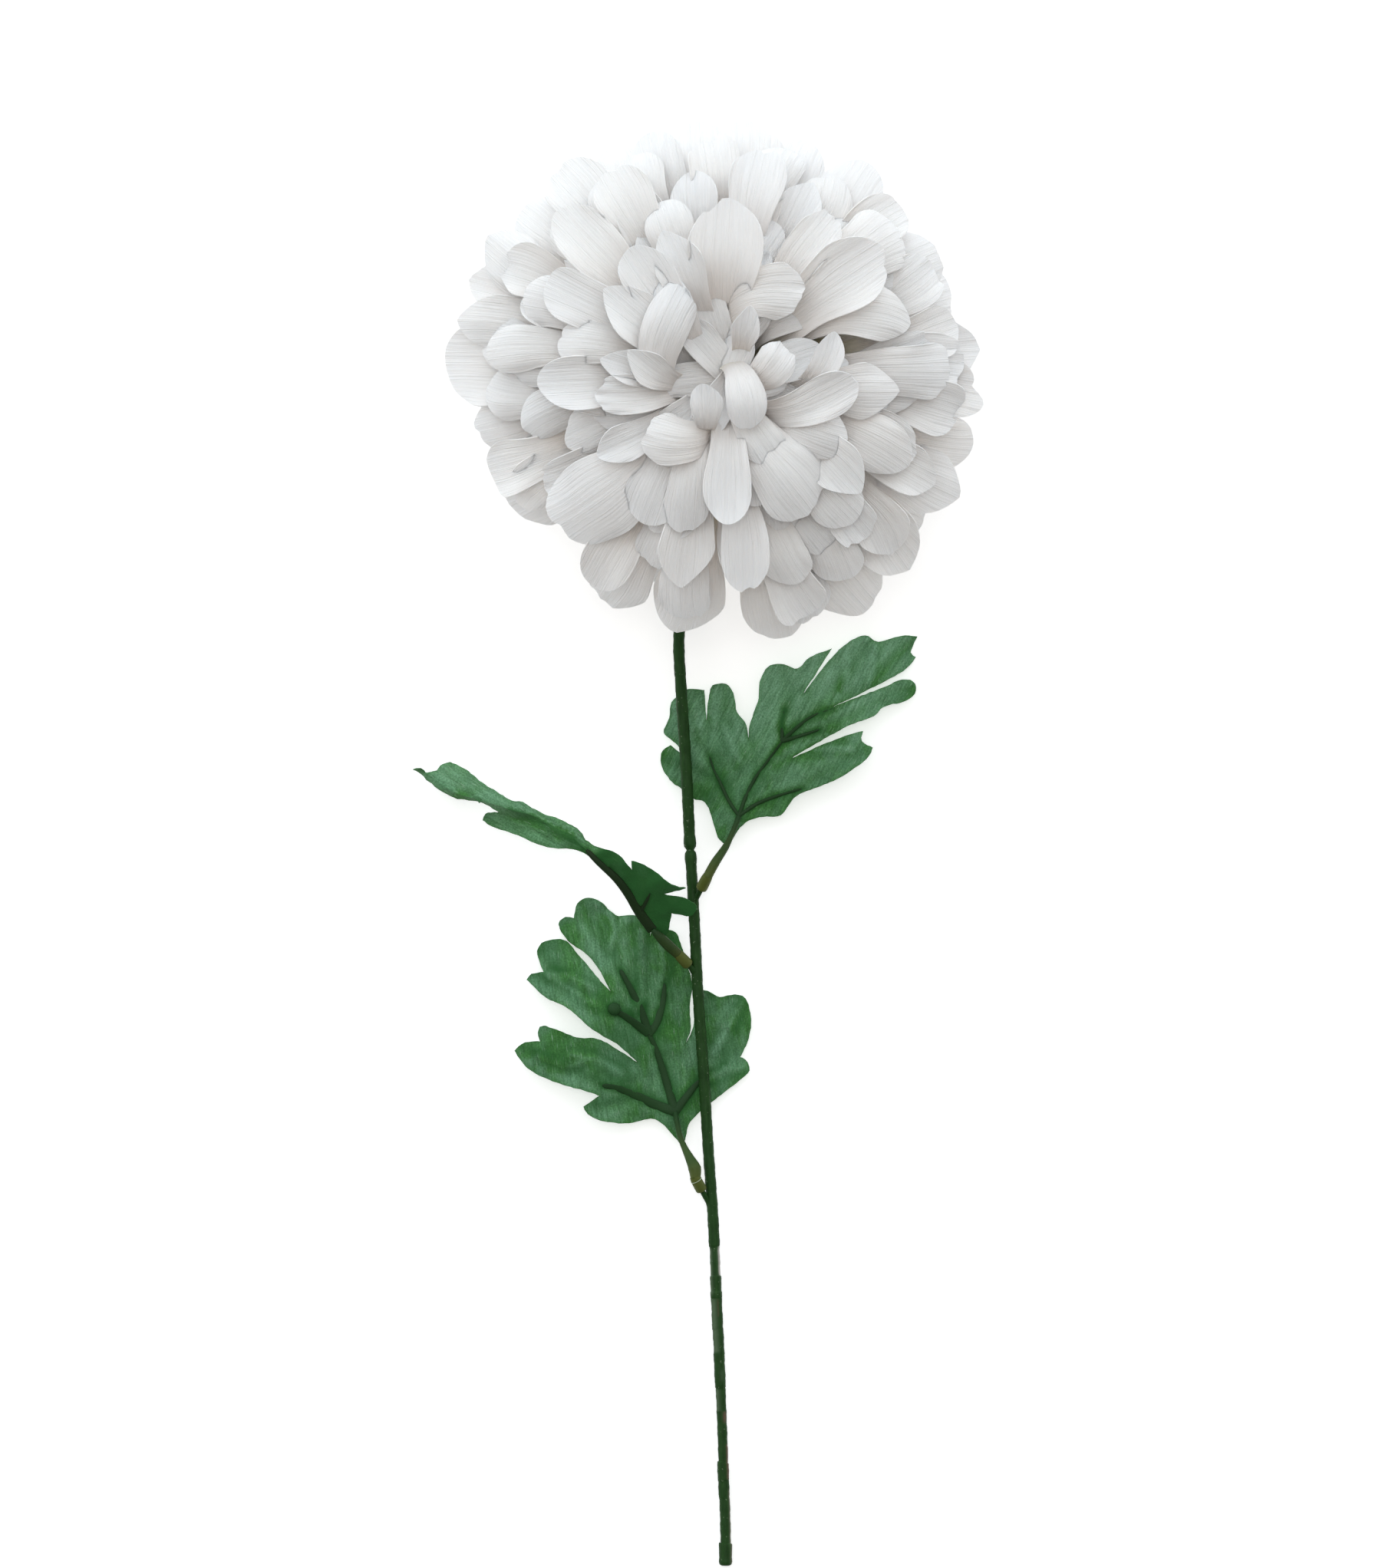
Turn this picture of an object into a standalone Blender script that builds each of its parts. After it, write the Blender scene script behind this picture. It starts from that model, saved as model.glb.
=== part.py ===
"""Artificial pompon chrysanthemum on a long stem, lying down with its bloom facing up.

Metres, +Z up. The stem lies along -Y, the bloom is at the +Y end, and the origin is under
the middle of the whole flower, on the surface that it lies on. Tables are in millimetres
and degrees, and MM turns their lengths into metres.
"""

import math
import random

import bmesh
import bpy
from mathutils import Vector, geometry

MM = 0.001
GAP = 0.0003

BLOOM_CENTRE = Vector((0.0105, 0.169, 0.0))
DOME_RADIUS = 0.097
DOME_BASE_Z = 0.056
DOME_RISE = 0.060
PETAL_THICKNESS = 0.0009
PETAL_CLAW = 0.20
PETAL_BLUNT = 0.16
WIDE_PETAL = 0.021
TUCK_SEEN = 0.010
TUCK_EDGE = 0.020
EDGE_MID_RADIUS = 0.062

CORE_Z = 0.057
CORE_RADIUS = 0.024
CORE_FLAT_Z = 0.042
ROOT_DEPTH = 0.008

CALYX_TOP_Z = CORE_FLAT_Z - GAP
CALYX_BOTTOM_Z = 0.027
CALYX_BORE_DEPTH = 0.006
CALYX_TOP_RADIUS = 0.0072

STEM_RADIUS = 0.0021
STEM_LOWER_RADIUS = 0.0019
STEM_SLEEVE_RADIUS = 0.00185
STEM_CAP_RADIUS = 0.0024
STEM_SIDES = 8
STEM_STEP = 0.018

PEG_RADIUS = 0.0010
PEG_IN_SOCKET = 0.0045
SOCKET_RADIUS = 0.0021
SOCKET_SIDES = 8
BORE_RADIUS = PEG_RADIUS + 1.2 * GAP

BLADE_THICKNESS = 0.0008
BLADE_GRID = 0.011
RIB_RADIUS = 0.0009
RIB_TIP_RADIUS = 0.0004
RIB_SIDES = 6
RIB_RELIEF = 0.0010
RIB_RELIEF_WIDTH = 0.006

# Petals seen from the front, from the middle outwards:
# azimuth, reach, heading, shown length, width, cup (above zero is hollow to the front), lift.
SEEN_PETALS = (
    (-156, 6, 88, 16, 11, -0.3, 2),
    (-61, 22, -74, 24, 14, -0.6, 4),
    (68, 27, 81, 14, 11, 0.5, -2),
    (28, 27, 48, 18, 15, -0.3, 2),
    (45, 43, 5, 26, 20, -0.3, 1),
    (110, 35, 72, 32, 17, -0.6, 3),
    (22, 44, 62, 22, 11, 0.3, 1),
    (-1, 47, 22, 30, 15, 0.5, 1),
    (-57, 37, -62, 24, 15, -0.3, -2),
    (-25, 51, -13, 26, 20, -0.4, 1),
    (-146, 35, 178, 24, 18, -0.5, 2),
    (164, 34, 146, 18, 12, 0.4, 0),
    (171, 43, 167, 20, 13, 0.4, -1),
    (-172, 45, -176, 24, 14, 0.4, -1),
    (-148, 52, -150, 26, 13, 0.5, -1),
    (-87, 51, -92, 34, 16, 0.6, 0),
    (-103, 58, -95, 36, 15, -0.5, 1),
    (-55, 60, -46, 36, 25, -0.5, 2),
    (-118, 60, -114, 32, 20, -0.3, -1),
    (-39, 64, -41, 28, 18, 0.4, 0),
    (-47, 71, -50, 28, 18, -0.3, -2),
    (-83, 74, -84, 30, 17, 0.4, 0),
    (-101, 75, -95, 32, 20, 0.4, -2),
    (-69, 79, -67, 30, 18, -0.3, -3),
    (-25, 77, -28, 32, 21, -0.4, 1),
    (-4, 65, -3, 28, 20, -0.4, 1),
    (2, 84, -2, 34, 20, -0.4, 1),
    (16, 74, -1, 34, 20, -0.5, 2),
    (38, 71, 36, 34, 24, 0.6, 1),
    (40, 87, 39, 34, 25, -0.5, 2),
    (55, 70, 55, 30, 16, 0.4, 1),
    (87, 62, 88, 30, 27, 0.6, 2),
    (79, 82, 80, 30, 19, 0.4, 0),
    (111, 56, 113, 28, 17, 0.4, 1),
    (109, 69, 112, 26, 17, -0.5, 1),
    (118, 83, 116, 30, 20, 0.4, 0),
    (125, 55, 119, 28, 18, 0.5, 0),
    (121, 43, 115, 24, 14, -0.4, 0),
    (143, 52, 140, 28, 20, 0.4, 1),
    (134, 81, 135, 34, 20, 0.4, 0),
    (152, 70, 158, 32, 19, 0.4, 0),
    (157, 78, 160, 30, 18, -0.4, 0),
    (173, 86, 178, 36, 16, -0.4, 0),
    (167, 61, 171, 28, 16, -0.5, 1),
    (-178, 64, -174, 28, 19, 0.5, 0),
    (-138, 82, -141, 46, 30, -0.5, 2),
)

# Petals of the rim, seen from the front as the outline: azimuth, reach, width, tip height.
EDGE_PETALS = (
    (7, 93, 24, 62), (-3, 92, 22, 72), (-15, 94, 23, 60), (-26, 97, 26, 64),
    (-36, 89, 18, 56), (-45, 96, 26, 64), (-57, 97, 27, 58), (-70, 93, 20, 66),
    (-77, 95, 23, 58), (-100, 93, 27, 60), (-118, 91, 22, 58), (-152, 80, 16, 56),
    (-161, 88, 22, 58), (-168, 90, 20, 68), (176, 98, 30, 60), (167, 98, 20, 70),
    (158, 96, 20, 60), (149, 99, 20, 70), (139, 96, 22, 60), (127, 95, 22, 68),
    (116, 93, 19, 60), (106, 93, 20, 69), (95, 94, 20, 60), (84, 95, 27, 68),
    (71, 92, 23, 61), (56, 94, 25, 68), (47, 91, 20, 60), (31, 91, 24, 68),
    (22, 90, 22, 60),
)

# Rings behind the rim: count, reach, tip height, middle radius, middle height, width, first azimuth.
BACK_RINGS = (
    (14, 90, 49, 57, 68, 28, 4),
    (11, 84, 31, 56, 53, 30, 12),
    (9, 70, 13, 49, 36, 28, 0),
)
# Lowest petals, which end flat on the surface, and the way left for the neck between them.
FOOT_AZIMUTHS = (0, 42, 90, 138, 180, 222, 318)
FOOT_REACH = 0.056
FOOT_MIDDLE = (0.036, 0.008)
FOOT_WIDTH = 0.021
FOOT_DIP = 0.014
# Places of the outline that stay open: azimuth and half angle.
OPEN_PLACES = ((-90, 8), (-132, 9))
NECK_AZIMUTH = -97
NECK_HALF_ANGLE = 17
NECK_CLEAR_Z = 0.022

# Stem axis from the calyx to the lower end: x, y, z.
STEM_ROUTE = (
    (10.5, 169, 32.4), (10.5, 169, 27), (10.2, 166, 19), (9.4, 160, 14.2), (8.0, 152, 12.6),
    (2.5, 125, 12.0), (-2.5, 100, 11.6), (-4.8, 77, 11.0), (-4.0, 57, 10.5), (-2.2, 29, 9.8),
    (-0.8, 1, 9.1), (0.8, -27, 8.4), (2.2, -55, 7.7), (4.2, -83, 7.0), (5.9, -111, 6.3),
    (7.8, -139, 5.6), (8.9, -167, 4.8), (10.1, -192, 4.1), (11.3, -223, 3.2), (12.1, -251, 2.5),
    (12.2, -262.8, 2.4),
)
# Places along Y where the stem's radius steps, for its joint, its sleeve, its wrap and its cap.
STEM_JOINT_Y = -0.0013
STEM_SLEEVE_Y = (-0.1474, -0.1651)
STEM_WRAP_Y = (-0.1984, -0.2272, -0.2384)
STEM_CAP_Y = -0.2555

# Each peg: where it leaves the stem's axis, its direction, and how far out its socket starts.
PEGS = {
    "right": ((0.5, -21.0, 8.6), (0.40, 0.78, 0.48), 6.8),
    "left": ((1.8, -46.8, 7.9), (-0.62, 0.66, 0.42), 5.0),
    "lower": ((6.9, -132.2, 5.8), (-0.45, 0.83, 0.33), 7.3),
}

# Right leaf, from its base on the surface's plan: outline, then ribs.
RIGHT_BASE = (17.1, 11.1)
RIGHT_BASE_Z = 0.0068
RIGHT_OUTLINE = (
    (-4.5, -10.4), (-7, -8.7), (-8.4, -5.6), (-10, 0), (-12.5, 5), (-17, 6.5), (-21, 10),
    (-24.5, 12.5), (-28, 17.5), (-28.5, 23), (-25, 26), (-20, 22), (-23, 26.5), (-27.5, 30.5),
    (-25.5, 36), (-25, 40.5), (-23, 43.5), (-18.5, 46.5), (-12.6, 46.2), (-12, 35), (-10.4, 46.5),
    (-7.6, 48.4), (-4.5, 48.4), (-2, 45), (-0.6, 38), (2.8, 33.6), (3.4, 28), (4.2, 34),
    (7, 41.7), (8, 50), (10.6, 54.5), (15.4, 55.7), (21.6, 54), (26, 58), (34, 61.3), (30, 55),
    (23.2, 44), (31, 54.5), (37.5, 61.6), (43.5, 65.5), (47.3, 65.8), (51, 63.8), (59.5, 66),
    (65.5, 65.8), (63, 60), (65, 58.3), (61.3, 54), (54, 49.5), (34.4, 40), (52.4, 47),
    (59.6, 49.8), (63.6, 49), (64.7, 45.6), (61.5, 42.3), (53, 40), (49.6, 36.7), (38, 32),
    (19, 21), (37, 28.6), (45.4, 31), (45, 27.4), (49, 25), (46.8, 21), (38, 14.6), (30, 11),
    (21, 7.3), (15.4, 0.3), (9, -0.3), (3.6, -1.7), (-0.3, -5.3), (-3.1, -10.1),
)
RIGHT_RIBS = (
    ((0, 0), (-3.7, 5.6), (-7, 12.6), (-9.3, 17.3), (-10.7, 21.8)),
    ((0, 0), (2.5, 7), (6.1, 14), (10.3, 19.8), (15.9, 27.4)),
    ((0, 0), (6.1, 4.2), (13.1, 7), (22.9, 10)),
    ((15.9, 27.4), (15.9, 32.7), (16.8, 39.2)),
    ((15.9, 27.4), (21, 32.2), (26.6, 36.4), (34, 39.3)),
    ((15.9, 27.4), (21.5, 29.1), (29.4, 31.6)),
)
RIGHT_STALK = ((8.4, -6, 13.6), (12, -0.6, 11.2), (14, 3.2, 9.8), (16, 8, 8.8))
RIGHT_STALK_RADII = (1.7, 1.35, 1.0, 0.95)

# Lower leaf, in the same way.
LOWER_BASE = (-6.2, -97.3)
LOWER_BASE_Z = 0.0042
LOWER_OUTLINE = (
    (2, -11.8), (-2, -7.3), (-5, -4.2), (-9, -2.5), (-17, -4.2), (-26, -3.4), (-32, -0.8),
    (-33.6, 2), (-27.7, 6), (-33.6, 8), (-41, 10), (-49.6, 13.2), (-55, 17), (-58.5, 22.4),
    (-55, 25.5), (-49.6, 25.8), (-50.4, 29), (-48.2, 31.6), (-36, 27.4), (-27, 26.3), (-14, 18.2),
    (-20.7, 24.4), (-29.4, 29.7), (-40, 38.4), (-47, 41.7), (-54.3, 48.2), (-52.6, 50.4),
    (-48.2, 51.2), (-50.4, 56.6), (-50.4, 60), (-47.6, 62.4), (-40.6, 62.7), (-34.7, 56.6),
    (-23.5, 43.4), (-28, 52.4), (-33, 58.2), (-39.2, 62.4), (-42.8, 68.6), (-40.3, 71.4),
    (-37.2, 71), (-36, 76.2), (-32, 78.4), (-27, 76.7), (-22, 72), (-14, 71.7), (-9.5, 67.2),
    (-9.3, 64.4), (-8.7, 66.2), (-4, 66.8), (0, 65.8), (2, 61.6), (4.2, 54.3), (6.2, 46.8),
    (5.3, 38.4), (5.6, 30), (3.1, 23.8), (6.6, 31), (7, 39.8), (8.9, 44), (12, 44.2), (16.2, 42),
    (21.8, 43), (25.8, 41.4), (27.7, 34.7), (27, 27), (23.8, 20), (25.8, 19), (27.2, 15),
    (23, 11), (14, 4), (8.4, -0.6), (4.8, -5), (3.6, -10.4),
)
LOWER_RIBS = (
    ((0, 0), (-8.4, 3.1), (-14, 5.9), (-20.1, 8.4), (-26.6, 9.8)),
    ((0, 0), (-2.5, 8.4), (-5, 16.8), (-7.5, 24.1), (-9.8, 28.6)),
    ((0, 0), (3.1, 4.2), (5.9, 7.8), (9.3, 11.8)),
    ((-9.8, 28.6), (-14, 31.9), (-19.3, 35.6), (-24, 38.3)),
    ((-9.8, 28.6), (-12.3, 36.4), (-16.2, 44.8), (-20.1, 52.1)),
    ((-9.8, 28.6), (-6.7, 33), (-4.4, 40.9), (-4, 47)),
)
LOWER_STALK = ((0.9, -118, 9.3), (-0.9, -114.2, 8.3), (-2.7, -110.6, 7.3),
               (-4.3, -106.6, 6.6), (-5.6, -101, 6.0))
LOWER_STALK_RADII = (2.4, 1.7, 1.2, 1.0, 0.95)
LOWER_KNOB = (-28.5, -59.5)
KNOB_RADIUS = 0.0021
KNOB_LIFT = 0.0009

# Left leaf, turned over near its base and folded along its midrib further out. Its outline is
# on the surface's plan, and its midrib is in space, from behind its base to past its tip.
LEFT_BASE = (-14.5, -30.5)
LEFT_MIDRIB = (
    (-10.5, -36, 11.6), (-14.5, -30.5, 14.6), (-19.3, -24.0, 18.2), (-23.2, -17.5, 21.8),
    (-27.8, -11.6, 25.0), (-34.5, -5.5, 27.5), (-39, -0.5, 28.5), (-45.5, 4.5, 29.0),
    (-52.5, 8.1, 28.5), (-58, 11.1, 27.5), (-67.1, 13.6, 25.5), (-76.9, 16.3, 23.0),
    (-90.3, 21.5, 18.0), (-98.8, 27.3, 13.0), (-106, 32, 9.0),
)
LEFT_OUTLINE = (
    (-12.4, -33.6), (-15.4, -30.9), (-20, -25.6), (-22.1, -22), (-24.5, -17.4), (-28.5, -12.2),
    (-30.6, -9.9), (-37.3, -3.8), (-42.2, -1.3), (-51.3, -0.4), (-57.4, 1.4), (-64.7, 4.5),
    (-73.2, 7.2), (-76.6, 9.6), (-75.7, 11.8), (-72.3, 12.5), (-69.6, 12.2), (-76.9, 15.1),
    (-83, 17.2), (-90.3, 20), (-96.4, 23.6), (-102.1, 28.2), (-98.8, 28.2), (-97, 27),
    (-93.6, 27.3), (-92.4, 29.1), (-88.8, 30.3), (-83.6, 28.5), (-75.7, 22.4), (-67.1, 16.9),
    (-60.5, 15.4), (-50.1, 10.2), (-41.6, 5.4), (-37.9, 1.7), (-34.3, -0.1), (-28.2, -2.2),
    (-25.5, -3.9), (-21.8, -8.6), (-22.1, -5.1), (-18.5, -6.2), (-12.4, -9.9), (-7.5, -13.5),
    (-2.3, -15), (-8.7, -17.2), (-11.1, -17.9), (-5.1, -18.5), (-2.5, -18.9), (1, -20.5),
    (1.7, -22.5), (-0.6, -24.8), (-5.1, -24.8), (-7.5, -24.6), (-8.4, -29.9), (-9.3, -32.4),
    (-11, -33),
)
LEFT_RIBS = (
    ((-14.5, -30.5), (-19.3, -24.0), (-23.2, -17.5), (-27.8, -11.6), (-34.5, -5.5), (-38.6, -1.2)),
    ((-19.3, -24.0), (-17.5, -21.5), (-15.4, -17.2)),
)
LEFT_FOLDS = (
    ((-38.6, -1.2), (-45.5, 4.5), (-52.5, 8.1), (-58, 11.1), (-67.1, 13.6), (-76.9, 16.3),
     (-90.3, 21.5), (-98.8, 27.3)),
)
# Where the turned part ends along the midrib, and how steeply each side slopes across it.
LEFT_TURN = (0.040, 0.047)
LEFT_RISE_NEAR = 0.45
LEFT_DROP_NEAR = 0.80
LEFT_DROP_FAR = 1.10
LEFT_FOLD_DROP = 2.2
LEFT_FOLD_WIDTH = 0.0035
LEFT_FOLD_FROM = (0.060, 0.083)
LEFT_LOBE_DROP = 0.35
LEFT_STALK = ((-8.6, -36.4, 14.0), (-11.8, -33.2, 15.3))
LEFT_STALK_RADII = (1.5, 1.1)

COLOURS = {
    "petal": ((0.86, 0.85, 0.82, 1), 0.75),
    "leaf": ((0.07, 0.21, 0.10, 1), 0.8),
    "stem": ((0.018, 0.055, 0.018, 1), 0.45),
    "stalk": ((0.07, 0.11, 0.02, 1), 0.4),
    "calyx": ((0.05, 0.13, 0.03, 1), 0.5),
}


def clear_scene():
    for item in list(bpy.data.objects):
        bpy.data.objects.remove(item, do_unlink=True)


def make_material(name):
    colour, roughness = COLOURS[name]
    material = bpy.data.materials.new(name)
    material.use_nodes = True
    shader = material.node_tree.nodes["Principled BSDF"]
    shader.inputs["Base Color"].default_value = colour
    shader.inputs["Roughness"].default_value = roughness
    shader.inputs["Metallic"].default_value = 0.0
    return material


def make_object(name, vertices, faces, material, smooth=False):
    mesh = bpy.data.meshes.new(name)
    mesh.from_pydata([tuple(v) for v in vertices], [], faces)
    mesh.update()
    if smooth:
        mesh.shade_smooth()
        mesh.set_sharp_from_angle(angle=math.radians(40))
    item = bpy.data.objects.new(name, mesh)
    bpy.context.scene.collection.objects.link(item)
    item.data.materials.append(material)
    return item


def polar(azimuth, radius, height):
    """A point of the bloom from degrees and metres."""
    turn = math.radians(azimuth)
    return BLOOM_CENTRE + Vector((radius * math.cos(turn), radius * math.sin(turn), height))


def angle_between(first, second):
    return abs((first - second + 180) % 360 - 180)


def dome_height(radius):
    share = min(radius / DOME_RADIUS, 1.0)
    return DOME_BASE_Z + DOME_RISE * math.sqrt(1 - share * share)


def route_point(points, place):
    """Catmull-Rom curve through points, with place counted in points."""
    index = min(int(place), len(points) - 2)
    part = place - index
    before = points[max(index - 1, 0)]
    start, end = points[index], points[index + 1]
    after = points[min(index + 2, len(points) - 1)]
    square, cube = part * part, part * part * part
    return 0.5 * (2 * start + (end - before) * part
                  + (2 * before - 5 * start + 4 * end - after) * square
                  + (3 * start - before - 3 * end + after) * cube)


def tube(name, points, radii, sides, material, caps=(True, True)):
    """A closed tube along points, with a radius at each, and rings that keep their twist."""
    vertices, faces = [], []
    side = Vector((0, 0, 1)).cross(points[1] - points[0])
    if side.length < 1e-6:
        side = Vector((1, 0, 0))
    count = len(points)
    for index, centre in enumerate(points):
        ahead = points[min(index + 1, count - 1)] - points[max(index - 1, 0)]
        ahead.normalize()
        side = (side - ahead * side.dot(ahead)).normalized()
        up = ahead.cross(side)
        for step in range(sides):
            turn = 2 * math.pi * step / sides
            reach = side * math.cos(turn) + up * math.sin(turn)
            vertices.append(centre + reach * radii[index])
    for ring in range(count - 1):
        for step in range(sides):
            after = (step + 1) % sides
            low, high = ring * sides, (ring + 1) * sides
            faces.append((low + step, low + after, high + after, high + step))
    if caps[0]:
        faces.append(tuple(reversed(range(sides))))
    if caps[1]:
        faces.append(tuple(range((count - 1) * sides, count * sides)))
    return make_object(name, vertices, faces, material, smooth=True)


def socket(name, start, direction, outer, bore, depth, length, material):
    """A round plug along direction with a blind bore at its start."""
    rings = ((bore, depth), (bore, 0), (outer * 0.88, 0), (outer, 0.0006), (outer, length * 0.8),
             (outer * 0.8, length))
    ahead = Vector(direction).normalized()
    side = ahead.cross(Vector((0, 0, 1))).normalized()
    up = ahead.cross(side)
    vertices, faces = [], []
    for radius, along in rings:
        for step in range(SOCKET_SIDES):
            turn = 2 * math.pi * step / SOCKET_SIDES
            reach = side * math.cos(turn) + up * math.sin(turn)
            vertices.append(start + ahead * along + reach * radius)
    for ring in range(len(rings) - 1):
        for step in range(SOCKET_SIDES):
            after = (step + 1) % SOCKET_SIDES
            low, high = ring * SOCKET_SIDES, (ring + 1) * SOCKET_SIDES
            faces.append((low + step, low + after, high + after, high + step))
    faces.append(tuple(reversed(range(SOCKET_SIDES))))
    last = (len(rings) - 1) * SOCKET_SIDES
    faces.append(tuple(range(last, last + SOCKET_SIDES)))
    return make_object(name, vertices, faces, material, smooth=True)


def unite(first, others, solver="EXACT"):
    """Joins others into first with one Boolean union, and removes them."""
    group = bpy.data.collections.new(first.name + "_others")
    bpy.context.scene.collection.children.link(group)
    for item in others:
        group.objects.link(item)
        bpy.context.scene.collection.objects.unlink(item)
    join = first.modifiers.new("union", "BOOLEAN")
    join.operation = "UNION"
    join.operand_type = "COLLECTION"
    join.collection = group
    join.solver = solver
    graph = bpy.context.evaluated_depsgraph_get()
    mesh = bpy.data.meshes.new_from_object(first.evaluated_get(graph))
    first.modifiers.clear()
    first.data = mesh
    for item in others:
        bpy.data.objects.remove(item, do_unlink=True)
    bpy.data.collections.remove(group)
    keep_outer_shell(first)
    return first


def shell_volume(faces):
    total = 0.0
    for face in faces:
        corners = [loop.vert.co for loop in face.loops]
        for index in range(1, len(corners) - 1):
            total += corners[0].dot(corners[index].cross(corners[index + 1])) / 6
    return total


def keep_outer_shell(item):
    """Drops loose scraps and fills sealed hollows: only the largest shell stays."""
    shape = bmesh.new()
    shape.from_mesh(item.data)
    left = set(shape.faces)
    shells = []
    while left:
        stack = [left.pop()]
        shell = []
        while stack:
            face = stack.pop()
            shell.append(face)
            for edge in face.edges:
                for near in edge.link_faces:
                    if near in left:
                        left.remove(near)
                        stack.append(near)
        shells.append(shell)
    shells.sort(key=shell_volume, reverse=True)
    spare = [face for shell in shells[1:] for face in shell]
    bmesh.ops.delete(shape, geom=spare, context="FACES")
    shape.to_mesh(item.data)
    shape.free()


class Petal:
    """A fabric petal: a bent spine from the core to its tip, and a surface across it."""

    def __init__(self, tip, middle, heading, width, cup, roll=0.0, rows=2):
        core = BLOOM_CENTRE + Vector((0, 0, CORE_Z))
        self.root = core + (middle - core).normalized() * ROOT_DEPTH
        self.bend = 2 * middle - (self.root + tip) / 2
        self.tip = tip
        self.width = width
        self.cup = cup
        self.rows = rows
        turn = math.radians(heading)
        lean = math.radians(roll)
        across = Vector((-math.sin(turn), math.cos(turn), 0))
        self.side = across * math.cos(lean) + Vector((0, 0, 1)) * math.sin(lean)

    def spine(self, along):
        rest = 1 - along
        return self.root * rest * rest + self.bend * 2 * along * rest + self.tip * along * along

    def ahead(self, along):
        way = (self.bend - self.root) * (1 - along) + (self.tip - self.bend) * along
        return way.normalized()

    def point(self, share, across):
        """share runs from root to tip, and across from one edge, -1, to the other, 1."""
        along = share * (1 - PETAL_BLUNT * (1 - math.sqrt(max(0.0, 1 - across * across))))
        ahead = self.ahead(along)
        side = (self.side - ahead * self.side.dot(ahead)).normalized()
        front = ahead.cross(side)
        open_share = min(along / 0.62, 1.0)
        half = self.width / 2 * (PETAL_CLAW + (1 - PETAL_CLAW) * math.sin(open_share * math.pi / 2))
        return self.spine(along) + side * half * across + front * half * self.cup * across * across

    def solid(self, name, material):
        columns = 3 if self.width > WIDE_PETAL else 2
        spread = [math.sin(math.pi / 2 * (2 * step / columns - 1)) for step in range(columns + 1)]
        grid = [[self.point(row / self.rows, across) for across in spread]
                for row in range(self.rows + 1)]
        return sheet_solid(name, grid, PETAL_THICKNESS, material)


def sheet_solid(name, grid, thickness, material):
    """Thickens a grid of points into a closed blade, split alike on both faces."""
    rows, columns = len(grid), len(grid[0])
    front, back = [], []
    for row in range(rows):
        for column in range(columns):
            along = grid[min(row + 1, rows - 1)][column] - grid[max(row - 1, 0)][column]
            across = grid[row][min(column + 1, columns - 1)] - grid[row][max(column - 1, 0)]
            normal = along.cross(across).normalized() * thickness / 2
            upper, lower = grid[row][column] + normal, grid[row][column] - normal
            upper.z = max(upper.z, 0.0 if normal.z < 0 else thickness)
            lower.z = max(lower.z, thickness if normal.z < 0 else 0.0)
            front.append(upper)
            back.append(lower)
    total = rows * columns
    faces = []
    for row in range(rows - 1):
        for column in range(columns - 1):
            a = row * columns + column
            b, c, d = a + 1, a + columns + 1, a + columns
            for one, two, three in ((a, c, b), (a, d, c)):
                faces.append((one, two, three))
                faces.append((three + total, two + total, one + total))
    rim = [column for column in range(columns)]
    rim += [row * columns + columns - 1 for row in range(1, rows)]
    rim += [(rows - 1) * columns + column for column in range(columns - 2, -1, -1)]
    rim += [row * columns for row in range(rows - 2, 0, -1)]
    for index, one in enumerate(rim):
        two = rim[(index + 1) % len(rim)]
        faces.append((one, two, two + total))
        faces.append((one, two + total, one + total))
    return make_object(name, front + back, faces, material)


def seen_petals():
    for azimuth, reach, heading, shown, width, cup, lift in SEEN_PETALS:
        tip = polar(azimuth, reach * MM, 0)
        turn = math.radians(heading)
        middle = tip - Vector((math.cos(turn), math.sin(turn), 0)) * shown * MM
        tip.z = dome_height(reach * MM) + lift * MM
        middle_radius = (middle - BLOOM_CENTRE).xy.length
        middle.z = dome_height(middle_radius) + lift * MM - TUCK_SEEN
        yield Petal(tip, middle, heading, width * MM, cup)


def edge_petals(draw):
    for azimuth, reach, width, height in EDGE_PETALS:
        tip = polar(azimuth, reach * MM, height * MM)
        middle_z = dome_height(EDGE_MID_RADIUS) - TUCK_EDGE - draw.uniform(0, 0.006)
        middle = polar(azimuth, EDGE_MID_RADIUS, middle_z)
        cup = draw.choice((-0.45, -0.3, 0.35))
        yield Petal(tip, middle, azimuth, width * MM, cup)


def back_petals(draw):
    for count, reach, height, middle_radius, middle_z, width, first in BACK_RINGS:
        for index in range(count):
            azimuth = first + 360 * index / count + draw.uniform(-3, 3)
            if any(angle_between(azimuth, place) < half for place, half in OPEN_PLACES):
                continue
            over_neck = angle_between(azimuth, NECK_AZIMUTH) < NECK_HALF_ANGLE
            if over_neck and height * MM < NECK_CLEAR_Z:
                continue
            tip = polar(azimuth, (reach + draw.uniform(-2, 2)) * MM, height * MM)
            middle = polar(azimuth, middle_radius * MM, middle_z * MM)
            yield Petal(tip, middle, azimuth, width * MM, draw.uniform(-0.4, -0.2), rows=2)


def foot_petals():
    for azimuth in FOOT_AZIMUTHS:
        tip = polar(azimuth, FOOT_REACH, -FOOT_DIP)
        middle = polar(azimuth, *FOOT_MIDDLE)
        yield Petal(tip, middle, azimuth, FOOT_WIDTH, -0.15, rows=3)


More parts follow.
